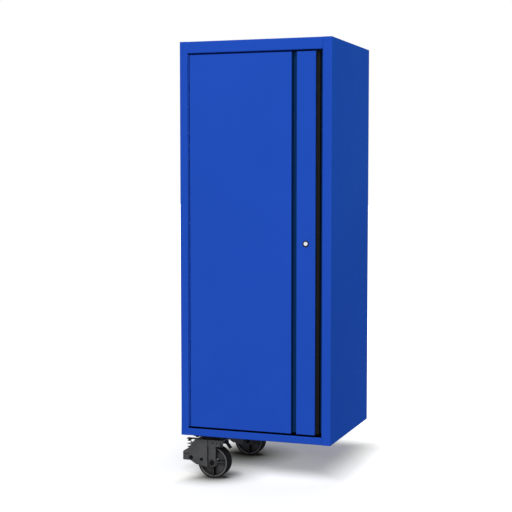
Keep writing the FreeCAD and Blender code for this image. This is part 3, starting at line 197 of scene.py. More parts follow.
def plug(tree, socket, value):
    """Give a socket a link or a plain value."""
    if isinstance(value, bpy.types.NodeSocket):
        tree.links.new(value, socket)
    elif socket.type == "RGBA":
        socket.default_value = (*value, 1.0)
    else:
        socket.default_value = value


def noise(tree, vector, scale, detail=2.0, roughness=0.5):
    """Noise read along a vector; gives a value near one half."""
    node = tree.nodes.new("ShaderNodeTexNoise")
    node.inputs["Detail"].default_value = detail
    node.inputs["Roughness"].default_value = roughness
    tree.links.new(vector, node.inputs["Vector"])
    plug(tree, node.inputs["Scale"], scale)
    return node.outputs["Fac"]


def cells(tree, vector, scale):
    """Distance from the middle of the nearest cell, and the cell's own random colour."""
    node = tree.nodes.new("ShaderNodeTexVoronoi")
    tree.links.new(vector, node.inputs["Vector"])
    plug(tree, node.inputs["Scale"], scale)
    return node.outputs["Distance"], node.outputs["Color"]


def spread(tree, value, low, high, to_low=0.0, to_high=1.0):
    """Map a value from one range to another and hold it there."""
    node = tree.nodes.new("ShaderNodeMapRange")
    node.clamp = True
    tree.links.new(value, node.inputs["Value"])
    plug(tree, node.inputs["From Min"], low)
    plug(tree, node.inputs["From Max"], high)
    plug(tree, node.inputs["To Min"], to_low)
    plug(tree, node.inputs["To Max"], to_high)
    return node.outputs["Result"]


def reckon(tree, kind, first, second=0.0):
    """Math node on two values, each a number or a socket."""
    node = tree.nodes.new("ShaderNodeMath")
    node.operation = kind
    plug(tree, node.inputs[0], first)
    plug(tree, node.inputs[1], second)
    return node.outputs["Value"]


def product(tree, first, *others):
    """Several masks multiplied together."""
    for other in others:
        first = reckon(tree, "MULTIPLY", first, other)
    return first


def axes(tree, vector):
    """The three coordinates of a place, one by one."""
    split = tree.nodes.new("ShaderNodeSeparateXYZ")
    tree.links.new(vector, split.inputs[0])
    return [split.outputs[axis] for axis in "XYZ"]


def openness(tree, distance, samples):
    """How open a place is to everything within a distance: 0 shut in, 1 open."""
    node = tree.nodes.new("ShaderNodeAmbientOcclusion")
    node.samples = samples
    plug(tree, node.inputs["Distance"], distance)
    return node.outputs["AO"]


def shut_in(tree, reach, shut, clear, samples=8):
    """Mask of the places that are shut in by what is within reach."""
    return spread(tree, openness(tree, reach, samples), shut, clear, 1.0, 0.0)


def band(tree, value, low, high, fade):
    """Mask that is one between two levels and fades out just inside each."""
    rising = spread(tree, value, low, low + fade)
    falling = spread(tree, value, high - fade, high, 1.0, 0.0)
    return product(tree, rising, falling)


def stretched(tree, vector, scale):
    """Coordinates scaled differently along each axis."""
    node = tree.nodes.new("ShaderNodeMapping")
    node.inputs["Scale"].default_value = scale
    tree.links.new(vector, node.inputs["Vector"])
    return node.outputs["Vector"]


def from_line(tree, vector, middle):
    """Distance from a line that runs back through a place."""
    shift = tree.nodes.new("ShaderNodeVectorMath")
    shift.operation = "SUBTRACT"
    tree.links.new(vector, shift.inputs[0])
    plug(tree, shift.inputs[1], middle)
    flat = stretched(tree, shift.outputs["Vector"], (1.0, 0.0, 1.0))
    reach = tree.nodes.new("ShaderNodeVectorMath")
    reach.operation = "LENGTH"
    tree.links.new(flat, reach.inputs[0])
    return reach.outputs["Value"]


def tinted(tree, mask, under, over):
    """Colour that goes from one to the other by a mask."""
    node = tree.nodes.new("ShaderNodeMix")
    node.data_type = "RGBA"
    tree.links.new(mask, node.inputs["Factor"])
    for label, colour in (("A_Color", under), ("B_Color", over)):
        socket = next(s for s in node.inputs if s.identifier == label)
        plug(tree, socket, colour)
    return next(s for s in node.outputs if s.identifier == "Result_Color")


def bumped(tree, height, strength, distance):
    """Normal pushed about by a height."""
    node = tree.nodes.new("ShaderNodeBump")
    node.inputs["Strength"].default_value = strength
    node.inputs["Distance"].default_value = distance
    tree.links.new(height, node.inputs["Height"])
    return node.outputs["Normal"]


# ------------------------------------------------------------------------------- shared node groups


def powder_skin_group():
    """Fine orange peel of sprayed and baked paint, with slow drifts of tone."""
    group, entry, leave = new_group(
        "powder_skin",
        [
            ("Vector", "NodeSocketVector", None),
            ("Peel Scale", "NodeSocketFloat", 420.0),
            ("Drift Scale", "NodeSocketFloat", 2.2),
        ],
        [("Peel", "NodeSocketFloat"), ("Drift", "NodeSocketFloat"), ("Speck", "NodeSocketFloat")],
    )
    vector = entry.outputs["Vector"]
    peel_scale = entry.outputs["Peel Scale"]
    coarse = noise(group, vector, peel_scale, 1.0)
    fine = noise(group, vector, product(group, peel_scale, 2.7), 0.0)
    peel = reckon(group, "ADD", coarse, product(group, fine, 0.4))
    drift = spread(group, noise(group, vector, entry.outputs["Drift Scale"], 3.0), *NOISE_SPAN)
    speck = noise(group, vector, product(group, peel_scale, 0.35), 4.0)
    group.links.new(peel, leave.inputs["Peel"])
    group.links.new(drift, leave.inputs["Drift"])
    group.links.new(spread(group, speck, 0.35, 0.65), leave.inputs["Speck"])
    return group


def worn_and_highlit_edges_group():
    """Mask of the edges and corners painted bright: rubbed wear, and painted highlight along the
    edges.
    """
    group, entry, leave = new_group(
        "worn_and_highlit_edges",
        [
            ("Vector", "NodeSocketVector", None),
            ("Radius", "NodeSocketFloat", 0.001),
            ("Break Up", "NodeSocketFloat", 180.0),
        ],
        [("Mask", "NodeSocketFloat")],
    )
    rounded = group.nodes.new("ShaderNodeBevel")
    rounded.samples = 4
    group.links.new(entry.outputs["Radius"], rounded.inputs["Radius"])
    plain = group.nodes.new("ShaderNodeNewGeometry")
    dot = group.nodes.new("ShaderNodeVectorMath")
    dot.operation = "DOT_PRODUCT"
    group.links.new(rounded.outputs["Normal"], dot.inputs[0])
    group.links.new(plain.outputs["Normal"], dot.inputs[1])
    edge = spread(group, dot.outputs["Value"], 0.98, 0.8)
    patch = noise(group, entry.outputs["Vector"], entry.outputs["Break Up"], 4.0)
    broken = spread(group, patch, 0.35, 0.6)
    group.links.new(product(group, edge, broken), leave.inputs["Mask"])
    return group


def handling_marks_group():
    """Mask of faint scuffs and smudges, and fine scratches that run one way."""
    group, entry, leave = new_group(
        "handling_marks",
        [
            ("Vector", "NodeSocketVector", None),
            ("Smudge Scale", "NodeSocketFloat", 30.0),
            ("Scratch Scale", "NodeSocketFloat", 260.0),
        ],
        [("Smudge", "NodeSocketFloat"), ("Scratch", "NodeSocketFloat")],
    )
    vector = entry.outputs["Vector"]
    smear = noise(group, vector, entry.outputs["Smudge Scale"], 5.0, 0.6)
    smudge = spread(group, smear, 0.4, 0.68)
    long_way = stretched(group, vector, (1.0, 1.0, 0.06))
    line = noise(group, long_way, entry.outputs["Scratch Scale"], 3.0, 0.7)
    scratch = spread(group, line, 0.56, 0.72)
    group.links.new(smudge, leave.inputs["Smudge"])
    group.links.new(scratch, leave.inputs["Scratch"])
    return group


def settled_dust_group():
    """Mask of dust on faces that look up, patchy."""
    group, entry, leave = new_group(
        "settled_dust",
        [("Vector", "NodeSocketVector", None), ("Patch Scale", "NodeSocketFloat", 40.0)],
        [("Mask", "NodeSocketFloat")],
    )
    geometry = group.nodes.new("ShaderNodeNewGeometry")
    upward = spread(group, axes(group, geometry.outputs["Normal"])[Z], 0.2, 1.0)
    drift = noise(group, entry.outputs["Vector"], entry.outputs["Patch Scale"], 4.0)
    patch = spread(group, drift, *NOISE_SPAN)
    group.links.new(product(group, upward, patch), leave.inputs["Mask"])
    return group


def painted_corner_shade_group():
    """Mask of painted shade in corners and under ledges, broken up by a noise."""
    group, entry, leave = new_group(
        "painted_corner_shade",
        [("Vector", "NodeSocketVector", None), ("Reach", "NodeSocketFloat", 0.012)],
        [("Mask", "NodeSocketFloat")],
    )
    corner = shut_in(group, entry.outputs["Reach"], 0.35, 0.85)
    patch = spread(group, noise(group, entry.outputs["Vector"], 90.0, 3.0), 0.2, 0.5, 0.6, 1.0)
    group.links.new(product(group, corner, patch), leave.inputs["Mask"])
    return group


def gap_shading_group():
    """Masks of painted shade in the gaps round the pull, and in the gap under the door."""
    group, entry, leave = new_group(
        "gap_shading",
        [("Vector", "NodeSocketVector", None)],
        [("Pull", "NodeSocketFloat"), ("Foot", "NodeSocketFloat")],
    )
    closed = shut_in(group, *GAP_SHADE)
    across, back, up = axes(group, entry.outputs["Vector"])
    front = spread(group, back, *levels(Y, *FRAME_BACK), 1.0, 0.0)
    deep_in = spread(group, back, *levels(Y, *PULL_DEPTH))
    round_pull = band(group, across, *levels(X, *PULL_SPAN), 0.0015)
    behind_face = spread(group, back, *levels(Y, *DOOR_FACE_DEPTH))
    under_door = band(group, up, *levels(Z, *DOOR_FOOT_GAP), 0.001)
    within_frame = band(group, across, *levels(X, *DOOR_SPAN), 0.002)
    pull = product(group, closed, deep_in, front, round_pull)
    foot = product(group, closed, under_door, within_frame, behind_face, front)
    group.links.new(pull, leave.inputs["Pull"])
    group.links.new(foot, leave.inputs["Foot"])
    return group


def round_spot_group():
    """Mask of everything within a radius of a line that runs back through a point."""
    group, entry, leave = new_group(
        "round_spot",
        [
            ("Vector", "NodeSocketVector", None),
            ("Middle", "NodeSocketVector", None),
            ("Radius", "NodeSocketFloat", 0.008),
        ],
        [("Mask", "NodeSocketFloat")],
    )
    reach = from_line(group, entry.outputs["Vector"], entry.outputs["Middle"])
    radius = entry.outputs["Radius"]
    outside = reckon(group, "ADD", radius, 0.0004)
    mask = spread(group, reach, radius, outside, 1.0, 0.0)
    group.links.new(mask, leave.inputs["Mask"])
    return group


POWDER_SKIN = powder_skin_group()
WORN_AND_HIGHLIT_EDGES = worn_and_highlit_edges_group()
HANDLING_MARKS = handling_marks_group()
SETTLED_DUST = settled_dust_group()
PAINTED_CORNER_SHADE = painted_corner_shade_group()
GAP_SHADING = gap_shading_group()
ROUND_SPOT = round_spot_group()


# ----------------------------------------------------------------------------------------- finishes


def start_finish(name):
    """New material, with its shader and its object coordinates."""
    material = bpy.data.materials.new(name)
    material.use_nodes = True
    tree = material.node_tree
    shader = tree.nodes["Principled BSDF"]
    vector = tree.nodes.new("ShaderNodeTexCoord").outputs["Object"]
    return material, tree, shader, vector


def use_group(tree, group, vector, **values):
    """Place a shared group in a material with this material's own values."""
    node = tree.nodes.new("ShaderNodeGroup")
    node.node_tree = group
    tree.links.new(vector, node.inputs["Vector"])
    for label, value in values.items():
        node.inputs[label.replace("_", " ")].default_value = value
    return node.outputs


def feed(tree, shader, **links):
    """Link results to the shader's own sockets."""
    for label, value in links.items():
        tree.links.new(value, shader.inputs[label.replace("_", " ")])


def shaded(shade, *colours):
    """Colours made darker by one factor."""
    return [tuple(shade * part for part in colour) for colour in colours]


def blue_powder_coat(name, shade):
    """Baked blue paint of the locker's sheet metal; a shade under 1 makes a darker copy, as painted
    shade.
    """
    material, tree, shader, vector = start_finish(name)
    skin = use_group(tree, POWDER_SKIN, vector, Peel_Scale=420.0, Drift_Scale=2.0)
    marks = use_group(tree, HANDLING_MARKS, vector, Smudge_Scale=7.0, Scratch_Scale=90.0)
    pale, mid, deep = shaded(shade, PALE_BLUE, MID_BLUE, DEEP_BLUE)
    tone = tinted(tree, skin["Drift"], mid, pale)
    full = tinted(tree, product(tree, skin["Speck"], 0.35), tone, deep)
    # painted shade: darker paint deep in the pull's groove, and black in the gap under the door
    gaps = use_group(tree, GAP_SHADING, vector)
    pull_shaded = tinted(tree, gaps["Pull"], full, PULL_SHADE_BLUE)
    colour = tinted(tree, gaps["Foot"], pull_shaded, GAP_SHADE_BLACK)
    roughness = spread(tree, marks["Smudge"], 0.0, 1.0, 0.34, 0.42)
    feed(
        tree,
        shader,
        Base_Color=colour,
        Roughness=roughness,
        Normal=bumped(tree, skin["Peel"], 0.12, 0.0006),
    )
    shader.inputs["Metallic"].default_value = 0.3
    shader.inputs["Specular IOR Level"].default_value = 0.0
    shader.inputs["Specular Tint"].default_value = (0.38, 0.55, 0.55, 1.0)
    return material


def zinc_plate():
    """Bright zinc plating with its faint spangle and fine drawn lines."""
    material, tree, shader, vector = start_finish("zinc_plate")
    grey, pale, dull, bright = (
        (0.47, 0.48, 0.50),
        (0.60, 0.61, 0.63),
        (0.40, 0.40, 0.41),
        (0.72, 0.73, 0.75),
    )
    _, flakes = cells(tree, vector, 300.0)
    marks = use_group(tree, HANDLING_MARKS, vector, Smudge_Scale=40.0, Scratch_Scale=500.0)
    edges = use_group(tree, WORN_AND_HIGHLIT_EDGES, vector, Radius=0.0006, Break_Up=300.0)
    flake = tree.nodes.new("ShaderNodeSeparateColor")
    tree.links.new(flakes, flake.inputs["Color"])
    base = tinted(tree, flake.outputs["Red"], grey, pale)
    dulled = tinted(tree, product(tree, marks["Smudge"], 0.5), base, dull)
    colour = tinted(tree, edges["Mask"], dulled, bright)
    roughness = spread(tree, marks["Smudge"], 0.0, 1.0, 0.30, 0.48)
    feed(
        tree,
        shader,
        Base_Color=colour,
        Roughness=roughness,
        Normal=bumped(tree, marks["Scratch"], 0.08, 0.0002),
    )
    shader.inputs["Metallic"].default_value = 0.9
    return material


def round_spot(tree, vector, x, z, radius):
    """Mask of a round spot on a caster, in millimetres from its kingpin and the cabinet's edge."""
    middle = place(KINGPIN_PLACES["front"][0] + x, 0.0, z)
    return use_group(tree, ROUND_SPOT, vector, Middle=middle, Radius=radius / 1000.0)["Mask"]


def dulled_grey_zinc(name, shade, dark_heads_and_shade=()):
    """Dulled grey plating of the pressed caster parts, painted lighter on edges as wear and
    highlight, with painted shade in corners and dark round spots where given.
    """
    material, tree, shader, vector = start_finish(name)
    marks = use_group(tree, HANDLING_MARKS, vector, Smudge_Scale=55.0, Scratch_Scale=420.0)
    edges = use_group(tree, WORN_AND_HIGHLIT_EDGES, vector, Radius=0.0009, Break_Up=160.0)
    dust = use_group(tree, SETTLED_DUST, vector, Patch_Scale=60.0)
    low, high, line, dusty, edge_bright = shaded(
        shade,
        (0.066, 0.067, 0.069),
        (0.082, 0.082, 0.083),
        (0.105, 0.105, 0.107),
        (0.115, 0.113, 0.108),
        (0.170, 0.170, 0.174),
    )
    base = tinted(tree, marks["Smudge"], low, high)
    lined = tinted(tree, product(tree, marks["Scratch"], 0.5), base, line)
    settled = tinted(tree, product(tree, dust["Mask"], 0.3), lined, dusty)
    # edges painted lighter, as worn spots and as painted highlight
    edge_lit = tinted(tree, product(tree, edges["Mask"], 0.6), settled, edge_bright)
    # painted shade: darker in corners and under ledges
    corner_shade = use_group(tree, PAINTED_CORNER_SHADE, vector, Reach=0.012)
    colour = tinted(tree, corner_shade["Mask"], edge_lit, NEAR_BLACK)
    # dark round spots: dark bolt heads, and painted shade where given
    for x, z, radius in dark_heads_and_shade:
        dark_spot = round_spot(tree, vector, x, z, radius)
        colour = tinted(tree, dark_spot, colour, DARK_SPOT_BLACK)
    roughness = spread(tree, marks["Smudge"], 0.0, 1.0, 0.45, 0.62)
    grain = noise(tree, vector, 900.0, 2.0)
    feed(
        tree,
        shader,
        Base_Color=colour,
        Roughness=roughness,
        Normal=bumped(tree, grain, 0.15, 0.0003),
    )
    shader.inputs["Metallic"].default_value = 0.1
    shader.inputs["Specular IOR Level"].default_value = 0.06
    return material


def dark_line_under_hub(tree, vector):
    """Mask of a dark line painted on the wheel core, from under the hub to the rim."""
    centre = wheel_centre("front")
    left, right = (centre.x + along / 1000.0 for along in DARK_LINE_ACROSS)
    foot, top = (centre.z + up / 1000.0 for up in DARK_LINE_DOWN)
    across, _, up = axes(tree, vector)
    return product(tree, band(tree, across, left, right, 0.001), band(tree, up, foot, top, 0.002))


def grey_cast_iron():
    """Grey painted casting with a sand-cast skin; its rim lip painted lighter, as polish and as
    highlight, with painted shade in its hollows and a dark line under the hub.
    """
    material, tree, shader, vector = start_finish("grey_cast_iron")
    marks = use_group(tree, HANDLING_MARKS, vector, Smudge_Scale=45.0, Scratch_Scale=300.0)
    edges = use_group(tree, WORN_AND_HIGHLIT_EDGES, vector, Radius=0.0014, Break_Up=130.0)
    low, high, lip_bright, edge_bright = (
        (0.064, 0.065, 0.067),
        (0.084, 0.084, 0.086),
        (0.15, 0.15, 0.155),
        (0.17, 0.17, 0.175),
    )
    base = tinted(tree, marks["Smudge"], low, high)
    # rim lip painted lighter: polished metal, and a painted highlight round the rim
    web = round_spot(tree, vector, WHEEL_LEAD, -AXLE_DROP, RIM_LIP_START)
    lip_brightened = tinted(tree, web, lip_bright, base)
    # edges painted lighter, as worn spots and as painted highlight
    edge_lit = tinted(tree, product(tree, edges["Mask"], 0.4), lip_brightened, edge_bright)
    # painted shade: darker in the wheel's hollows and corners
    corner_shade = use_group(tree, PAINTED_CORNER_SHADE, vector, Reach=0.026)
    corner_shaded = tinted(tree, corner_shade["Mask"], edge_lit, NEAR_BLACK)
    # dark line painted from under the hub down to the rim
    colour = tinted(tree, dark_line_under_hub(tree, vector), corner_shaded, NEAR_BLACK)
    skin = reckon(tree, "ADD", noise(tree, vector, 380.0, 4.0), noise(tree, vector, 120.0, 1.0))
    feed(
        tree,
        shader,
        Base_Color=colour,
        Roughness=spread(tree, marks["Smudge"], 0.0, 1.0, 0.5, 0.66),
        Normal=bumped(tree, skin, 0.35, 0.0006),
    )
    shader.inputs["Specular IOR Level"].default_value = 0.06
    return material


def tread_rubber():
    """Hard black rubber tyre with a floor-worn tread and dust in its grain."""
    material, tree, shader, vector = start_finish("tread_rubber")
    dust = use_group(tree, SETTLED_DUST, vector, Patch_Scale=90.0)
    marks = use_group(tree, HANDLING_MARKS, vector, Smudge_Scale=60.0, Scratch_Scale=380.0)
    black, scuffed, dusty = (0.0065, 0.0065, 0.0068), (0.011, 0.011, 0.011), (0.03, 0.029, 0.027)
    base = tinted(tree, marks["Smudge"], black, scuffed)
    colour = tinted(tree, product(tree, dust["Mask"], 0.3), base, dusty)
    grain = noise(tree, vector, 1100.0, 3.0)
    feed(
        tree,
        shader,
        Base_Color=colour,
        Roughness=spread(tree, marks["Smudge"], 0.0, 1.0, 0.55, 0.75),
        Normal=bumped(tree, grain, 0.25, 0.0004),
    )
    shader.inputs["Specular IOR Level"].default_value = 0.04
    return material


def seal_foam():
    """Closed-cell foam strip with tiny open pores."""
    material, tree, shader, vector = start_finish("seal_foam")
    pores, _ = cells(tree, vector, 1500.0)
    patch = noise(tree, vector, 60.0, 4.0)
    black, faded = (0.010, 0.010, 0.011), (0.024, 0.024, 0.025)
    colour = tinted(tree, spread(tree, patch, *NOISE_SPAN), black, faded)
    feed(
        tree,
        shader,
        Base_Color=colour,
        Roughness=spread(tree, patch, *NOISE_SPAN, 0.8, 0.95),
        Normal=bumped(tree, pores, 0.5, 0.0005),
    )
    shader.inputs["Specular IOR Level"].default_value = 0.15
    return material


def moulded_black():
    """Black moulded plastic with a fine spark-eroded grain; its outer side painted near-black, as
    shade deep in the finger gap.
    """
    material, tree, shader, vector = start_finish("moulded_black")
    grain = noise(tree, vector, 1400.0, 2.0)
    patch = noise(tree, vector, 35.0, 4.0)
    black, handled, deep = (0.0065, 0.0065, 0.0065), (0.010, 0.0098, 0.0095), (0.001, 0.001, 0.001)
    plain = tinted(tree, spread(tree, patch, *NOISE_SPAN), black, handled)
    # painted shade on the trim's outer side, deep in the finger gap
    shaded_side = spread(tree, axes(tree, vector)[X], *levels(X, *TRIM_SHADED_SIDE))
    colour = tinted(tree, shaded_side, plain, deep)
    feed(
        tree,
        shader,
        Base_Color=colour,
        Roughness=spread(tree, patch, *NOISE_SPAN, 0.45, 0.58),
        Normal=bumped(tree, grain, 0.3, 0.0003),
    )
    shader.inputs["Specular IOR Level"].default_value = 0.2
    return material


def grey_ferrite():
    """Dark grey sintered magnet with ground faces."""
    material, tree, shader, vector = start_finish("grey_ferrite")
    marks = use_group(tree, HANDLING_MARKS, vector, Smudge_Scale=120.0, Scratch_Scale=900.0)
    edges = use_group(tree, WORN_AND_HIGHLIT_EDGES, vector, Radius=0.0005, Break_Up=400.0)
    dark, ground, chipped = (0.045, 0.045, 0.050), (0.085, 0.085, 0.090), (0.14, 0.14, 0.14)
    base = tinted(tree, marks["Scratch"], dark, ground)
    colour = tinted(tree, edges["Mask"], base, chipped)
    feed(
        tree,
        shader,
        Base_Color=colour,
        Roughness=spread(tree, marks["Smudge"], 0.0, 1.0, 0.4, 0.6),
        Normal=bumped(tree, marks["Scratch"], 0.2, 0.0002),
    )
    return material


def black_lock_ring():
    """Black ring of the lock, worn grey on its lip."""
    material, tree, shader, vector = start_finish("black_lock_ring")
    edges = use_group(tree, WORN_AND_HIGHLIT_EDGES, vector, Radius=0.0005, Break_Up=350.0)
    patch = noise(tree, vector, 250.0, 4.0)
    black, handled, edge_lit = (0.008, 0.009, 0.016), (0.016, 0.018, 0.030), (0.06, 0.065, 0.08)
    base = tinted(tree, spread(tree, patch, *NOISE_SPAN), black, handled)
    colour = tinted(tree, product(tree, edges["Mask"], 0.4), base, edge_lit)
    feed(
        tree,
        shader,
        Base_Color=colour,
        Roughness=spread(tree, patch, *NOISE_SPAN, 0.3, 0.45),
        Normal=bumped(tree, patch, 0.1, 0.0002),
    )
    shader.inputs["Specular IOR Level"].default_value = 0.2
    return material


def bright_lock_chrome():
    """Polished chrome face of the lock with hairline turning marks round its middle."""
    material, tree, shader, vector = start_finish("bright_lock_chrome")
    bright, smeared, edge_black = (0.88, 0.94, 0.99), (0.80, 0.86, 0.92), (0.010, 0.012, 0.022)
    reach = from_line(tree, vector, place(*LOCK_PLACE))
    wave = reckon(tree, "SINE", product(tree, reach, 26000.0))
    marks = use_group(tree, HANDLING_MARKS, vector, Smudge_Scale=300.0, Scratch_Scale=1800.0)
    face = tinted(tree, marks["Smudge"], bright, smeared)
    rim = spread(tree, reach, 0.0075, 0.0079)
    colour = tinted(tree, rim, face, edge_black)
    feed(
        tree,
        shader,
        Base_Color=colour,
        Roughness=spread(tree, marks["Smudge"], 0.0, 1.0, 0.10, 0.22),
        Normal=bumped(tree, wave, 0.05, 0.00002),
    )
    shader.inputs["Metallic"].default_value = 1.0
    return material


FINISHES = {
    "blue_paint": blue_powder_coat("blue_powder_coat", 1.0),
    "zinc_steel": zinc_plate(),
    "caster_steel": dulled_grey_zinc("dulled_grey_zinc", 1.0),
    "wheel_iron": grey_cast_iron(),
    "tyre": tread_rubber(),
    "seal_rubber": seal_foam(),
    "dark_trim": moulded_black(),
    "magnet": grey_ferrite(),
    "lock_bezel": black_lock_ring(),
    "lock_face": bright_lock_chrome(),
}
# darker copy of the blue paint on the hinge leaves: painted shade in the hinge gap
HINGE_SHADED_FINISH = blue_powder_coat("blue_hinge_shaded_coat", 0.62)
# far darker copy of the caster zinc: dark fittings, and painted shade on the plates and kingpins
# deep under the cabinet
DARK_AND_SHADED_ZINC = dulled_grey_zinc("dark_and_shaded_zinc", 0.1)
# brake frames with dark bolt heads, and painted shade on the spring seat
BRAKE_FRAME_FINISH = dulled_grey_zinc("riveted_brake_zinc", 1.0, (*BRAKE_HEADS, SPRING_SEAT_SHADE))


# -------------------------------------------------------------------------------------- piece tools

NODE_SLOTS = {row["node"]: row["material_slot"] for row in frame["record"]["subparts"]}
SAME_POINT = 0.00001
FLAT_WITHIN = math.radians(0.6)
SHARP_CORNER = math.radians(38.0)


def finish_piece(name, bm, body, slot, replaced=(), sharp=32.0, finish=None):
    """Make a finished mesh a named piece that rides on its body."""
    bmesh.ops.recalc_face_normals(bm, faces=bm.faces)
    for face in bm.faces:
        face.smooth = True
    for edge in bm.edges:
        edge.smooth = len(edge.link_faces) == 2 and edge.calc_face_angle(0.0) < math.radians(sharp)
    mesh = bpy.data.meshes.new(name)
    bm.to_mesh(mesh)
    bm.free()
    piece = bpy.data.objects.new(name, mesh)
    bpy.context.scene.collection.objects.link(piece)
    piece.data.materials.append(finish or FINISHES[slot])
    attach(piece, body)
    if replaced:
        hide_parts(*replaced)
    return piece


def merged_copy(node):
    """Mesh of a CAD node with its loose triangles joined into whole faces."""
    bm = bmesh.new()
    bm.from_mesh(nodes[node].data)
    bmesh.ops.remove_doubles(bm, verts=bm.verts, dist=SAME_POINT)
    bmesh.ops.dissolve_limit(
        bm, angle_limit=FLAT_WITHIN, verts=bm.verts, edges=bm.edges, delimit={"NORMAL"}
    )
    return bm


def round_over(bm, edges, width, segments=2):
    """Round the given edges of a mesh with a narrow bevel, its width in millimetres."""
    bmesh.ops.bevel(
        bm,
        geom=edges,
        offset=width / 1000.0,
        offset_type="OFFSET",
        affect="EDGES",
        segments=segments,
        profile=0.5,
        material=-1,
        clamp_overlap=True,
    )


def softened(name, node, width, segments=2, finish=None):
    """A CAD node's own shape with its sharp edges rounded, standing for that node."""
    bm = merged_copy(node)
    corners = [
        edge
        for edge in bm.edges
        if len(edge.link_faces) == 2 and edge.calc_face_angle(0.0) > SHARP_CORNER
    ]
    round_over(bm, corners, width, segments)
    finish_piece(name, bm, nodes[node]["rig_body"], NODE_SLOTS[node], [node], finish=finish)


# ------------------------------------------------------------------------------- carried-over nodes


def dress_cad_nodes():
    """Give every carried-over node the finish of its slot, but the hinge leaves the darker blue,
    painted shade in the hinge gap, and the brake springs the far darker zinc.
    """
    for name, piece in nodes.items():
        piece.data.materials.clear()
        finish = FINISHES[NODE_SLOTS[name]]
        if name.startswith("hinge") and name.endswith("leaf"):
            finish = HINGE_SHADED_FINISH
        if name.endswith("brake_spring"):
            finish = DARK_AND_SHADED_ZINC
        piece.data.materials.append(finish)


def soften_small_parts():
    """Round the edges of the fittings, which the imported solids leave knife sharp."""
    for end in ("front", "rear"):
        # the far darker zinc on the mounting plates and kingpins is painted shade under the cabinet
        softened(end + "_mounting_plate", end + "_caster_plate", 0.8, finish=DARK_AND_SHADED_ZINC)
        softened(end + "_kingpin_and_nut", end + "_kingpin", 0.5, finish=DARK_AND_SHADED_ZINC)
        softened(end + "_pressed_fork", end + "_fork", 1.1, 3)
        softened(end + "_axle_bolt", end + "_axle", 0.7, finish=DARK_AND_SHADED_ZINC)
        softened(end + "_brake_frame", end + "_brake_bracket", 0.7, finish=BRAKE_FRAME_FINISH)
        softened(end + "_guard_strip", end + "_wheel_guard", 0.8, finish=DARK_AND_SHADED_ZINC)
        softened(end + "_foot_pedal", end + "_brake_pedal", 1.0, 3)
        softened(end + "_cast_wheel", end + "_wheel_core", 1.2, 3)
    softened("caster_fixing_bolts", "caster_bolts", 0.4, finish=DARK_AND_SHADED_ZINC)
    softened("caster_fixing_nuts", "caster_nuts", 0.4)
    softened("lock_turned_ring", "lock_housing", 0.6, 3)
    softened("keyed_lock_face", "lock_plug", 0.35)
    softened("lock_back_nut", "lock_nut", 0.4)
    softened("latch_cam", "lock_cam", 0.4)
    softened("cam_fixing_screw", "cam_screw", 0.3)
    softened("strip_fixing_screws", "strip_screws", 0.3)
    softened("catch_cases", "catch_housings", 0.6)
    softened("catch_strike_plates", "catch_strikes", 0.3)
    softened("shelf_brackets", "shelf_clips", 0.3)
    softened("door_seal_strips", "door_seal", 1.2, 3)


# --------------------------------------------------------------------------------------- the wheels


def turned(section, centre, axis, steps):
    """Solid made by a full turn of a closed section about an axis through the centre."""
    bm = bmesh.new()
    across = axis.orthogonal().normalized()
    rim = [bm.verts.new(centre + axis * along + across * reach) for along, reach in section]
    ring = [bm.edges.new(pair) for pair in zip(rim, rim[1:] + rim[:1])]
    bmesh.ops.spin(
        bm,
        geom=rim + ring,
        cent=centre,
        axis=axis,
        angle=math.tau,
        steps=steps,
        use_merge=True,
        use_duplicate=False,
    )
    bmesh.ops.remove_doubles(bm, verts=bm.verts, dist=SAME_POINT)
    return bm


def tyre_section():
    """Half profile across the tyre, in metres from the wheel's middle, then its mirror."""
    half, reach, seat = TYRE_HALF_WIDTH, WHEEL_RADIUS, TYRE_SEAT
    outward = [
        (0.0, reach),
        (half - 5.0, reach),
        (half - 3.1, reach - 0.25),
        (half - 1.7, reach - 0.75),
        (half - 0.7, reach - 1.5),
        (half, reach - 2.7),
        (half - 0.3, reach - 3.2),
        (RIM_HALF_WIDTH, seat),
    ]
    inward = [(-along, reach_here) for along, reach_here in reversed(outward[1:])]
    return [(a / 1000.0, r / 1000.0) for a, r in outward + inward]


def build_tyres():
    """Rubber tyres with rounded shoulders and a moulded line round each side."""
    for end in KINGPIN_PLACES:
        bm = turned(tyre_section(), wheel_centre(end), Vector((0.0, 1.0, 0.0)), TYRE_STEPS)
        finish_piece(
            end + "_rubber_tyre", bm, end + "_wheel", "tyre", [end + "_tyre"], sharp=28.0
        )


def lathed(profile, foot, outward, steps):
    """Small turned part that stands on a face: profile runs (reach, height) up its outside."""
    section = [(height / 1000.0, reach / 1000.0) for reach, height in profile]
    return turned(section + [(section[-1][0], 0.0), (section[0][0], 0.0)], foot, outward, steps)


def joined(parts):
    """Several small meshes as one."""
    whole = bmesh.new()
    for bm in parts:
        scrap = bpy.data.meshes.new("scrap")
        bm.to_mesh(scrap)
        bm.free()
        whole.from_mesh(scrap)
        bpy.data.meshes.remove(scrap)
    return whole


def rounded_bar(centre, size, edge, tilt=0.0):
    """Small bar with rounded edges, in millimetres, tilted about the line across the caster."""
    bm = bmesh.new()
    bmesh.ops.create_cube(bm, size=1.0)
    bmesh.ops.scale(bm, vec=Vector(size) / 1000.0, verts=bm.verts)
    round_over(bm, bm.edges[:], edge)
    turn = Matrix.Rotation(math.radians(tilt), 3, "Y")
    bmesh.ops.rotate(bm, cent=(0.0, 0.0, 0.0), matrix=turn, verts=bm.verts)
    bmesh.ops.translate(bm, vec=centre, verts=bm.verts)
    return bm


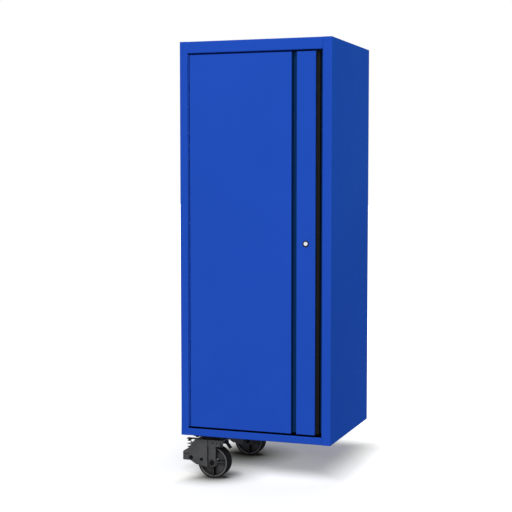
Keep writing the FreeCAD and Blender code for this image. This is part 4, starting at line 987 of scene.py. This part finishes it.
def build_pedal_grips():
    """Raised strip along each cheek of the pedals, dark to paint the shade line under the pedal's
    top, and ribs across the sloping nose.
    """
    for end, (x, y) in KINGPIN_PLACES.items():
        ahead, level = PEDAL_STRIP
        strips = []
        for side in (-1.0, 1.0):
            centre = place(x + ahead, y + side * (PEDAL_HALF_WIDTH + 0.1), level)
            strips.append(rounded_bar(centre, PEDAL_STRIP_SIZE, 0.5))
        bm = joined(strips)
        finish_piece(
            end + "_pedal_shade_strips", bm, end + "_pedal", "caster_steel", finish=DARK_AND_SHADED_ZINC
        )
        nose, foot = PEDAL_NOSE
        ribs = []
        for along in PEDAL_RIBS:
            centre = place(x + along, y, foot + (along - nose) * PEDAL_NOSE_RISE)
            ribs.append(rounded_bar(centre, PEDAL_RIB_SIZE, 0.35, PEDAL_NOSE_TILT))
        finish_piece(end + "_pedal_ribs", joined(ribs), end + "_pedal", "caster_steel")


def build_crown_rivets():
    """Three rivets and the guard's fixing screw on each skirt of the crowns."""
    rivet = [(2.7, -0.3), (2.7, 0.25), (2.3, 0.95), (1.3, 1.5)]
    screw = [(4.2, -0.3), (4.2, 0.9), (3.6, 2.0), (2.0, 2.5)]
    heads = [(rivet, spot, RIVET_STEPS) for spot in CROWN_RIVETS]
    heads.append((screw, GUARD_SCREW, SCREW_STEPS))
    for end, (x, y) in KINGPIN_PLACES.items():
        parts = []
        for side in (-1.0, 1.0):
            for profile, (ahead, level), steps in heads:
                foot = place(x + ahead, y + side * SKIRT_FACE, level)
                parts.append(lathed(profile, foot, Vector((0.0, side, 0.0)), steps))
        bm = joined(parts)
        finish_piece(
            end + "_crown_rivets", bm, end + "_swivel", "caster_steel", finish=DARK_AND_SHADED_ZINC
        )


def build_grease_nipples():
    """Grease nipple that stands up from the near side of each hub."""
    profile = [(3.2, -0.8), (3.2, 2.2), (1.9, 2.9), (1.9, 4.4), (2.5, 5.2), (2.5, 6.4), (1.6, 7.3)]
    lean = math.radians(NIPPLE_LEAN)
    outward = Vector((math.cos(lean), 0.0, math.sin(lean)))
    for end in KINGPIN_PLACES:
        hub = wheel_centre(end) + Vector((0.0, HUB_SIDE / 1000.0, 0.0))
        bm = lathed(profile, hub + outward * HUB_REACH / 1000.0, outward, RIVET_STEPS)
        finish_piece(end + "_grease_nipple", bm, end + "_wheel", "zinc_steel")


def build_corner_welds():
    """Thin ground welds over the butt joints at the four corners of the frame."""
    bars = []
    for x in FRAME_JOINTS:
        for low, high in FRAME_RAILS:
            centre = place(x, WELD_SET_BACK, (low + high) / 2.0)
            size = (WELD_WIDTH, WELD_THICKNESS, high - low - WELD_SHORT_BY)
            bars.append(rounded_bar(centre, size, 0.1))
    finish_piece("frame_corner_welds", joined(bars), "cabinet", "blue_paint")


# ------------------------------------------------------------------------------------------ staging


def eased(tree, value, low, high):
    """Mask that swings smoothly from 0 at one level to 1 at the other."""
    node = tree.nodes.new("ShaderNodeMapRange")
    node.interpolation_type = "SMOOTHSTEP"
    tree.links.new(value, node.inputs["Value"])
    plug(tree, node.inputs["From Min"], low)
    plug(tree, node.inputs["From Max"], high)
    return node.outputs["Result"]


def reach_from(tree, vector, x, y):
    """Distance on the floor from the point under x, y of the cabinet, in metres."""
    shift = tree.nodes.new("ShaderNodeVectorMath")
    shift.operation = "DISTANCE"
    tree.links.new(vector, shift.inputs[0])
    shift.inputs[1].default_value = place(x, y, -FLOOR_DROP)
    return shift.outputs["Value"]


def brightest(tree, first, *others):
    """The highest of several masks."""
    for other in others:
        first = reckon(tree, "MAXIMUM", first, other)
    return first


def open_floor(tree, vector):
    """Mask of the floor painted light past the cabinet, and of the floor's left edge, lifted out of
    the painted shadow.
    """
    across, back, _ = axes(tree, vector)
    ahead = eased(tree, back, *levels(Y, *LIT_AHEAD))
    behind = eased(tree, back, *levels(Y, *LIT_BEHIND))
    right = eased(tree, across, *levels(X, *LIT_RIGHT))
    left = eased(tree, across, *levels(X, *LIT_LEFT))
    beside = spread(tree, across, *levels(X, *LIT_BESIDE))
    reached = brightest(tree, ahead, behind, left, right)
    boost = product(tree, brightest(tree, beside, behind), 0.6)
    edge_across = eased(tree, across, *levels(X, *LEFT_EDGE))
    edge_back = eased(tree, back, *levels(Y, *LEFT_EDGE_BACK))
    return reckon(tree, "ADD", reached, boost), product(tree, edge_across, edge_back)


def floor_finish():
    """Pale matt floor; the camera sees it nearly white, with painted shadow close round what stands
    on it and painted light that lifts the shade under and past the cabinet.
    """
    material, tree, shader, vector = start_finish("pale_floor")
    grey, pale_grey, near_white = (0.73, 0.73, 0.73), (0.75, 0.75, 0.75), (0.93, 0.93, 0.915)
    shade_hue, open_hue = (1.0, 0.98, 0.72), (1.0, 1.0, 0.97)
    patch = spread(tree, noise(tree, vector, 1.5, 3.0), *NOISE_SPAN)
    seen = tree.nodes.new("ShaderNodeLightPath").outputs["Is Camera Ray"]
    # painted contact shadow: darker where the floor is shut in, and in pools round the wheels
    reach, shut, clear = CONTACT_SHADE
    contact = spread(tree, openness(tree, reach, 16), shut, clear, 0.06, 1.0)
    for x, y, dark_reach, full_reach, least in FLOOR_POOLS:
        pool = spread(tree, reach_from(tree, vector, x, y), dark_reach, full_reach, least, 1.0)
        contact = product(tree, contact, pool)
    open_mask, left_edge = open_floor(tree, vector)
    contact = brightest(tree, contact, left_edge)
    # painted light: warm glow that lightens the shade under the cabinet, and glow on the open and
    # far floor
    reach, shut, clear = WIDE_SHADE
    under = spread(tree, openness(tree, reach, 16), shut, clear, 0.22, 0.0)
    far = spread(tree, reach_from(tree, vector, *FLOOR_MIDDLE), *FAR_FLOOR)
    reached = brightest(tree, open_mask, far)
    lift = reckon(tree, "ADD", product(tree, reached, 0.40), product(tree, far, 0.35))
    plain = tinted(tree, patch, grey, pale_grey)
    shown = tinted(tree, contact, (0.0, 0.0, 0.0), near_white)
    hue = tinted(tree, reached, shade_hue, open_hue)
    glow = product(tree, seen, contact, reckon(tree, "ADD", under, lift))
    feed(
        tree,
        shader,
        Base_Color=tinted(tree, seen, plain, shown),
        Emission_Color=hue,
        Emission_Strength=glow,
    )
    shader.inputs["Roughness"].default_value = 0.9
    shader.inputs["Specular IOR Level"].default_value = 0.0
    return material


def build_floor():
    """Wide floor under the wheels."""
    bm = bmesh.new()
    under = Matrix.Translation(place(*FLOOR_MIDDLE, -FLOOR_DROP))
    bmesh.ops.create_grid(bm, x_segments=1, y_segments=1, size=40.0, matrix=under)
    mesh = bpy.data.meshes.new("studio_floor")
    bm.to_mesh(mesh)
    bm.free()
    floor = bpy.data.objects.new("studio_floor", mesh)
    bpy.context.scene.collection.objects.link(floor)
    mesh.materials.append(floor_finish())


def add_sun(name, strength, spread_angle, towards, casts=True):
    """Soft distant lamp; strength is the share of full daylight on a face that looks at it."""
    lamp = bpy.data.lights.new(name, "SUN")
    lamp.energy = strength * math.pi
    lamp.use_shadow = casts
    lamp.angle = math.radians(spread_angle)
    holder = bpy.data.objects.new(name, lamp)
    holder.rotation_mode = "QUATERNION"
    holder.rotation_quaternion = towards.to_track_quat("Z", "Y")
    bpy.context.scene.collection.objects.link(holder)


def background(tree, strength):
    """White surroundings of one strength."""
    node = tree.nodes.new("ShaderNodeBackground")
    node.inputs["Color"].default_value = (1.0, 1.0, 1.0, 1.0)
    node.inputs["Strength"].default_value = strength
    return node.outputs["Background"]


def build_lights():
    """Even pale surroundings, a broad soft lamp high in front and a weaker one low in front."""
    scene = bpy.context.scene
    world = bpy.data.worlds.new("pale_surroundings")
    scene.world = world
    world.use_nodes = True
    tree = world.node_tree
    tree.nodes.clear()
    leave = tree.nodes.new("ShaderNodeOutputWorld")
    path = tree.nodes.new("ShaderNodeLightPath").outputs
    seen = brightest(
        tree, path["Is Camera Ray"], path["Is Glossy Ray"], path["Is Transmission Ray"]
    )
    either = tree.nodes.new("ShaderNodeMixShader")
    tree.links.new(seen, either.inputs["Fac"])
    tree.links.new(background(tree, 0.45), either.inputs[1])
    tree.links.new(background(tree, 1.0), either.inputs[2])
    tree.links.new(either.outputs["Shader"], leave.inputs["Surface"])

    add_sun("soft_high_sun", 0.44, 35.0, Vector((0.17, -0.76, 0.62)))
    add_sun("low_fill", 0.20, 50.0, Vector((0.42, -0.90, 0.12)), False)


def build_camera():
    """Camera at the right front, a little above the middle of the door."""
    data = bpy.data.cameras.new("camera")
    data.sensor_width = CAMERA_SENSOR
    data.lens = CAMERA_LENS
    holder = bpy.data.objects.new("camera", data)
    holder.location = CAMERA_PLACE
    holder.rotation_euler = (math.radians(90.0 - CAMERA_DOWN), 0.0, math.radians(CAMERA_TURN))
    bpy.context.scene.collection.objects.link(holder)
    bpy.context.scene.camera = holder


dress_cad_nodes()
soften_small_parts()
build_tyres()
build_pedal_grips()
build_crown_rivets()
build_grease_nipples()
build_corner_welds()
build_floor()
build_lights()
build_camera()
bpy.context.scene.view_settings.view_transform = "Standard"
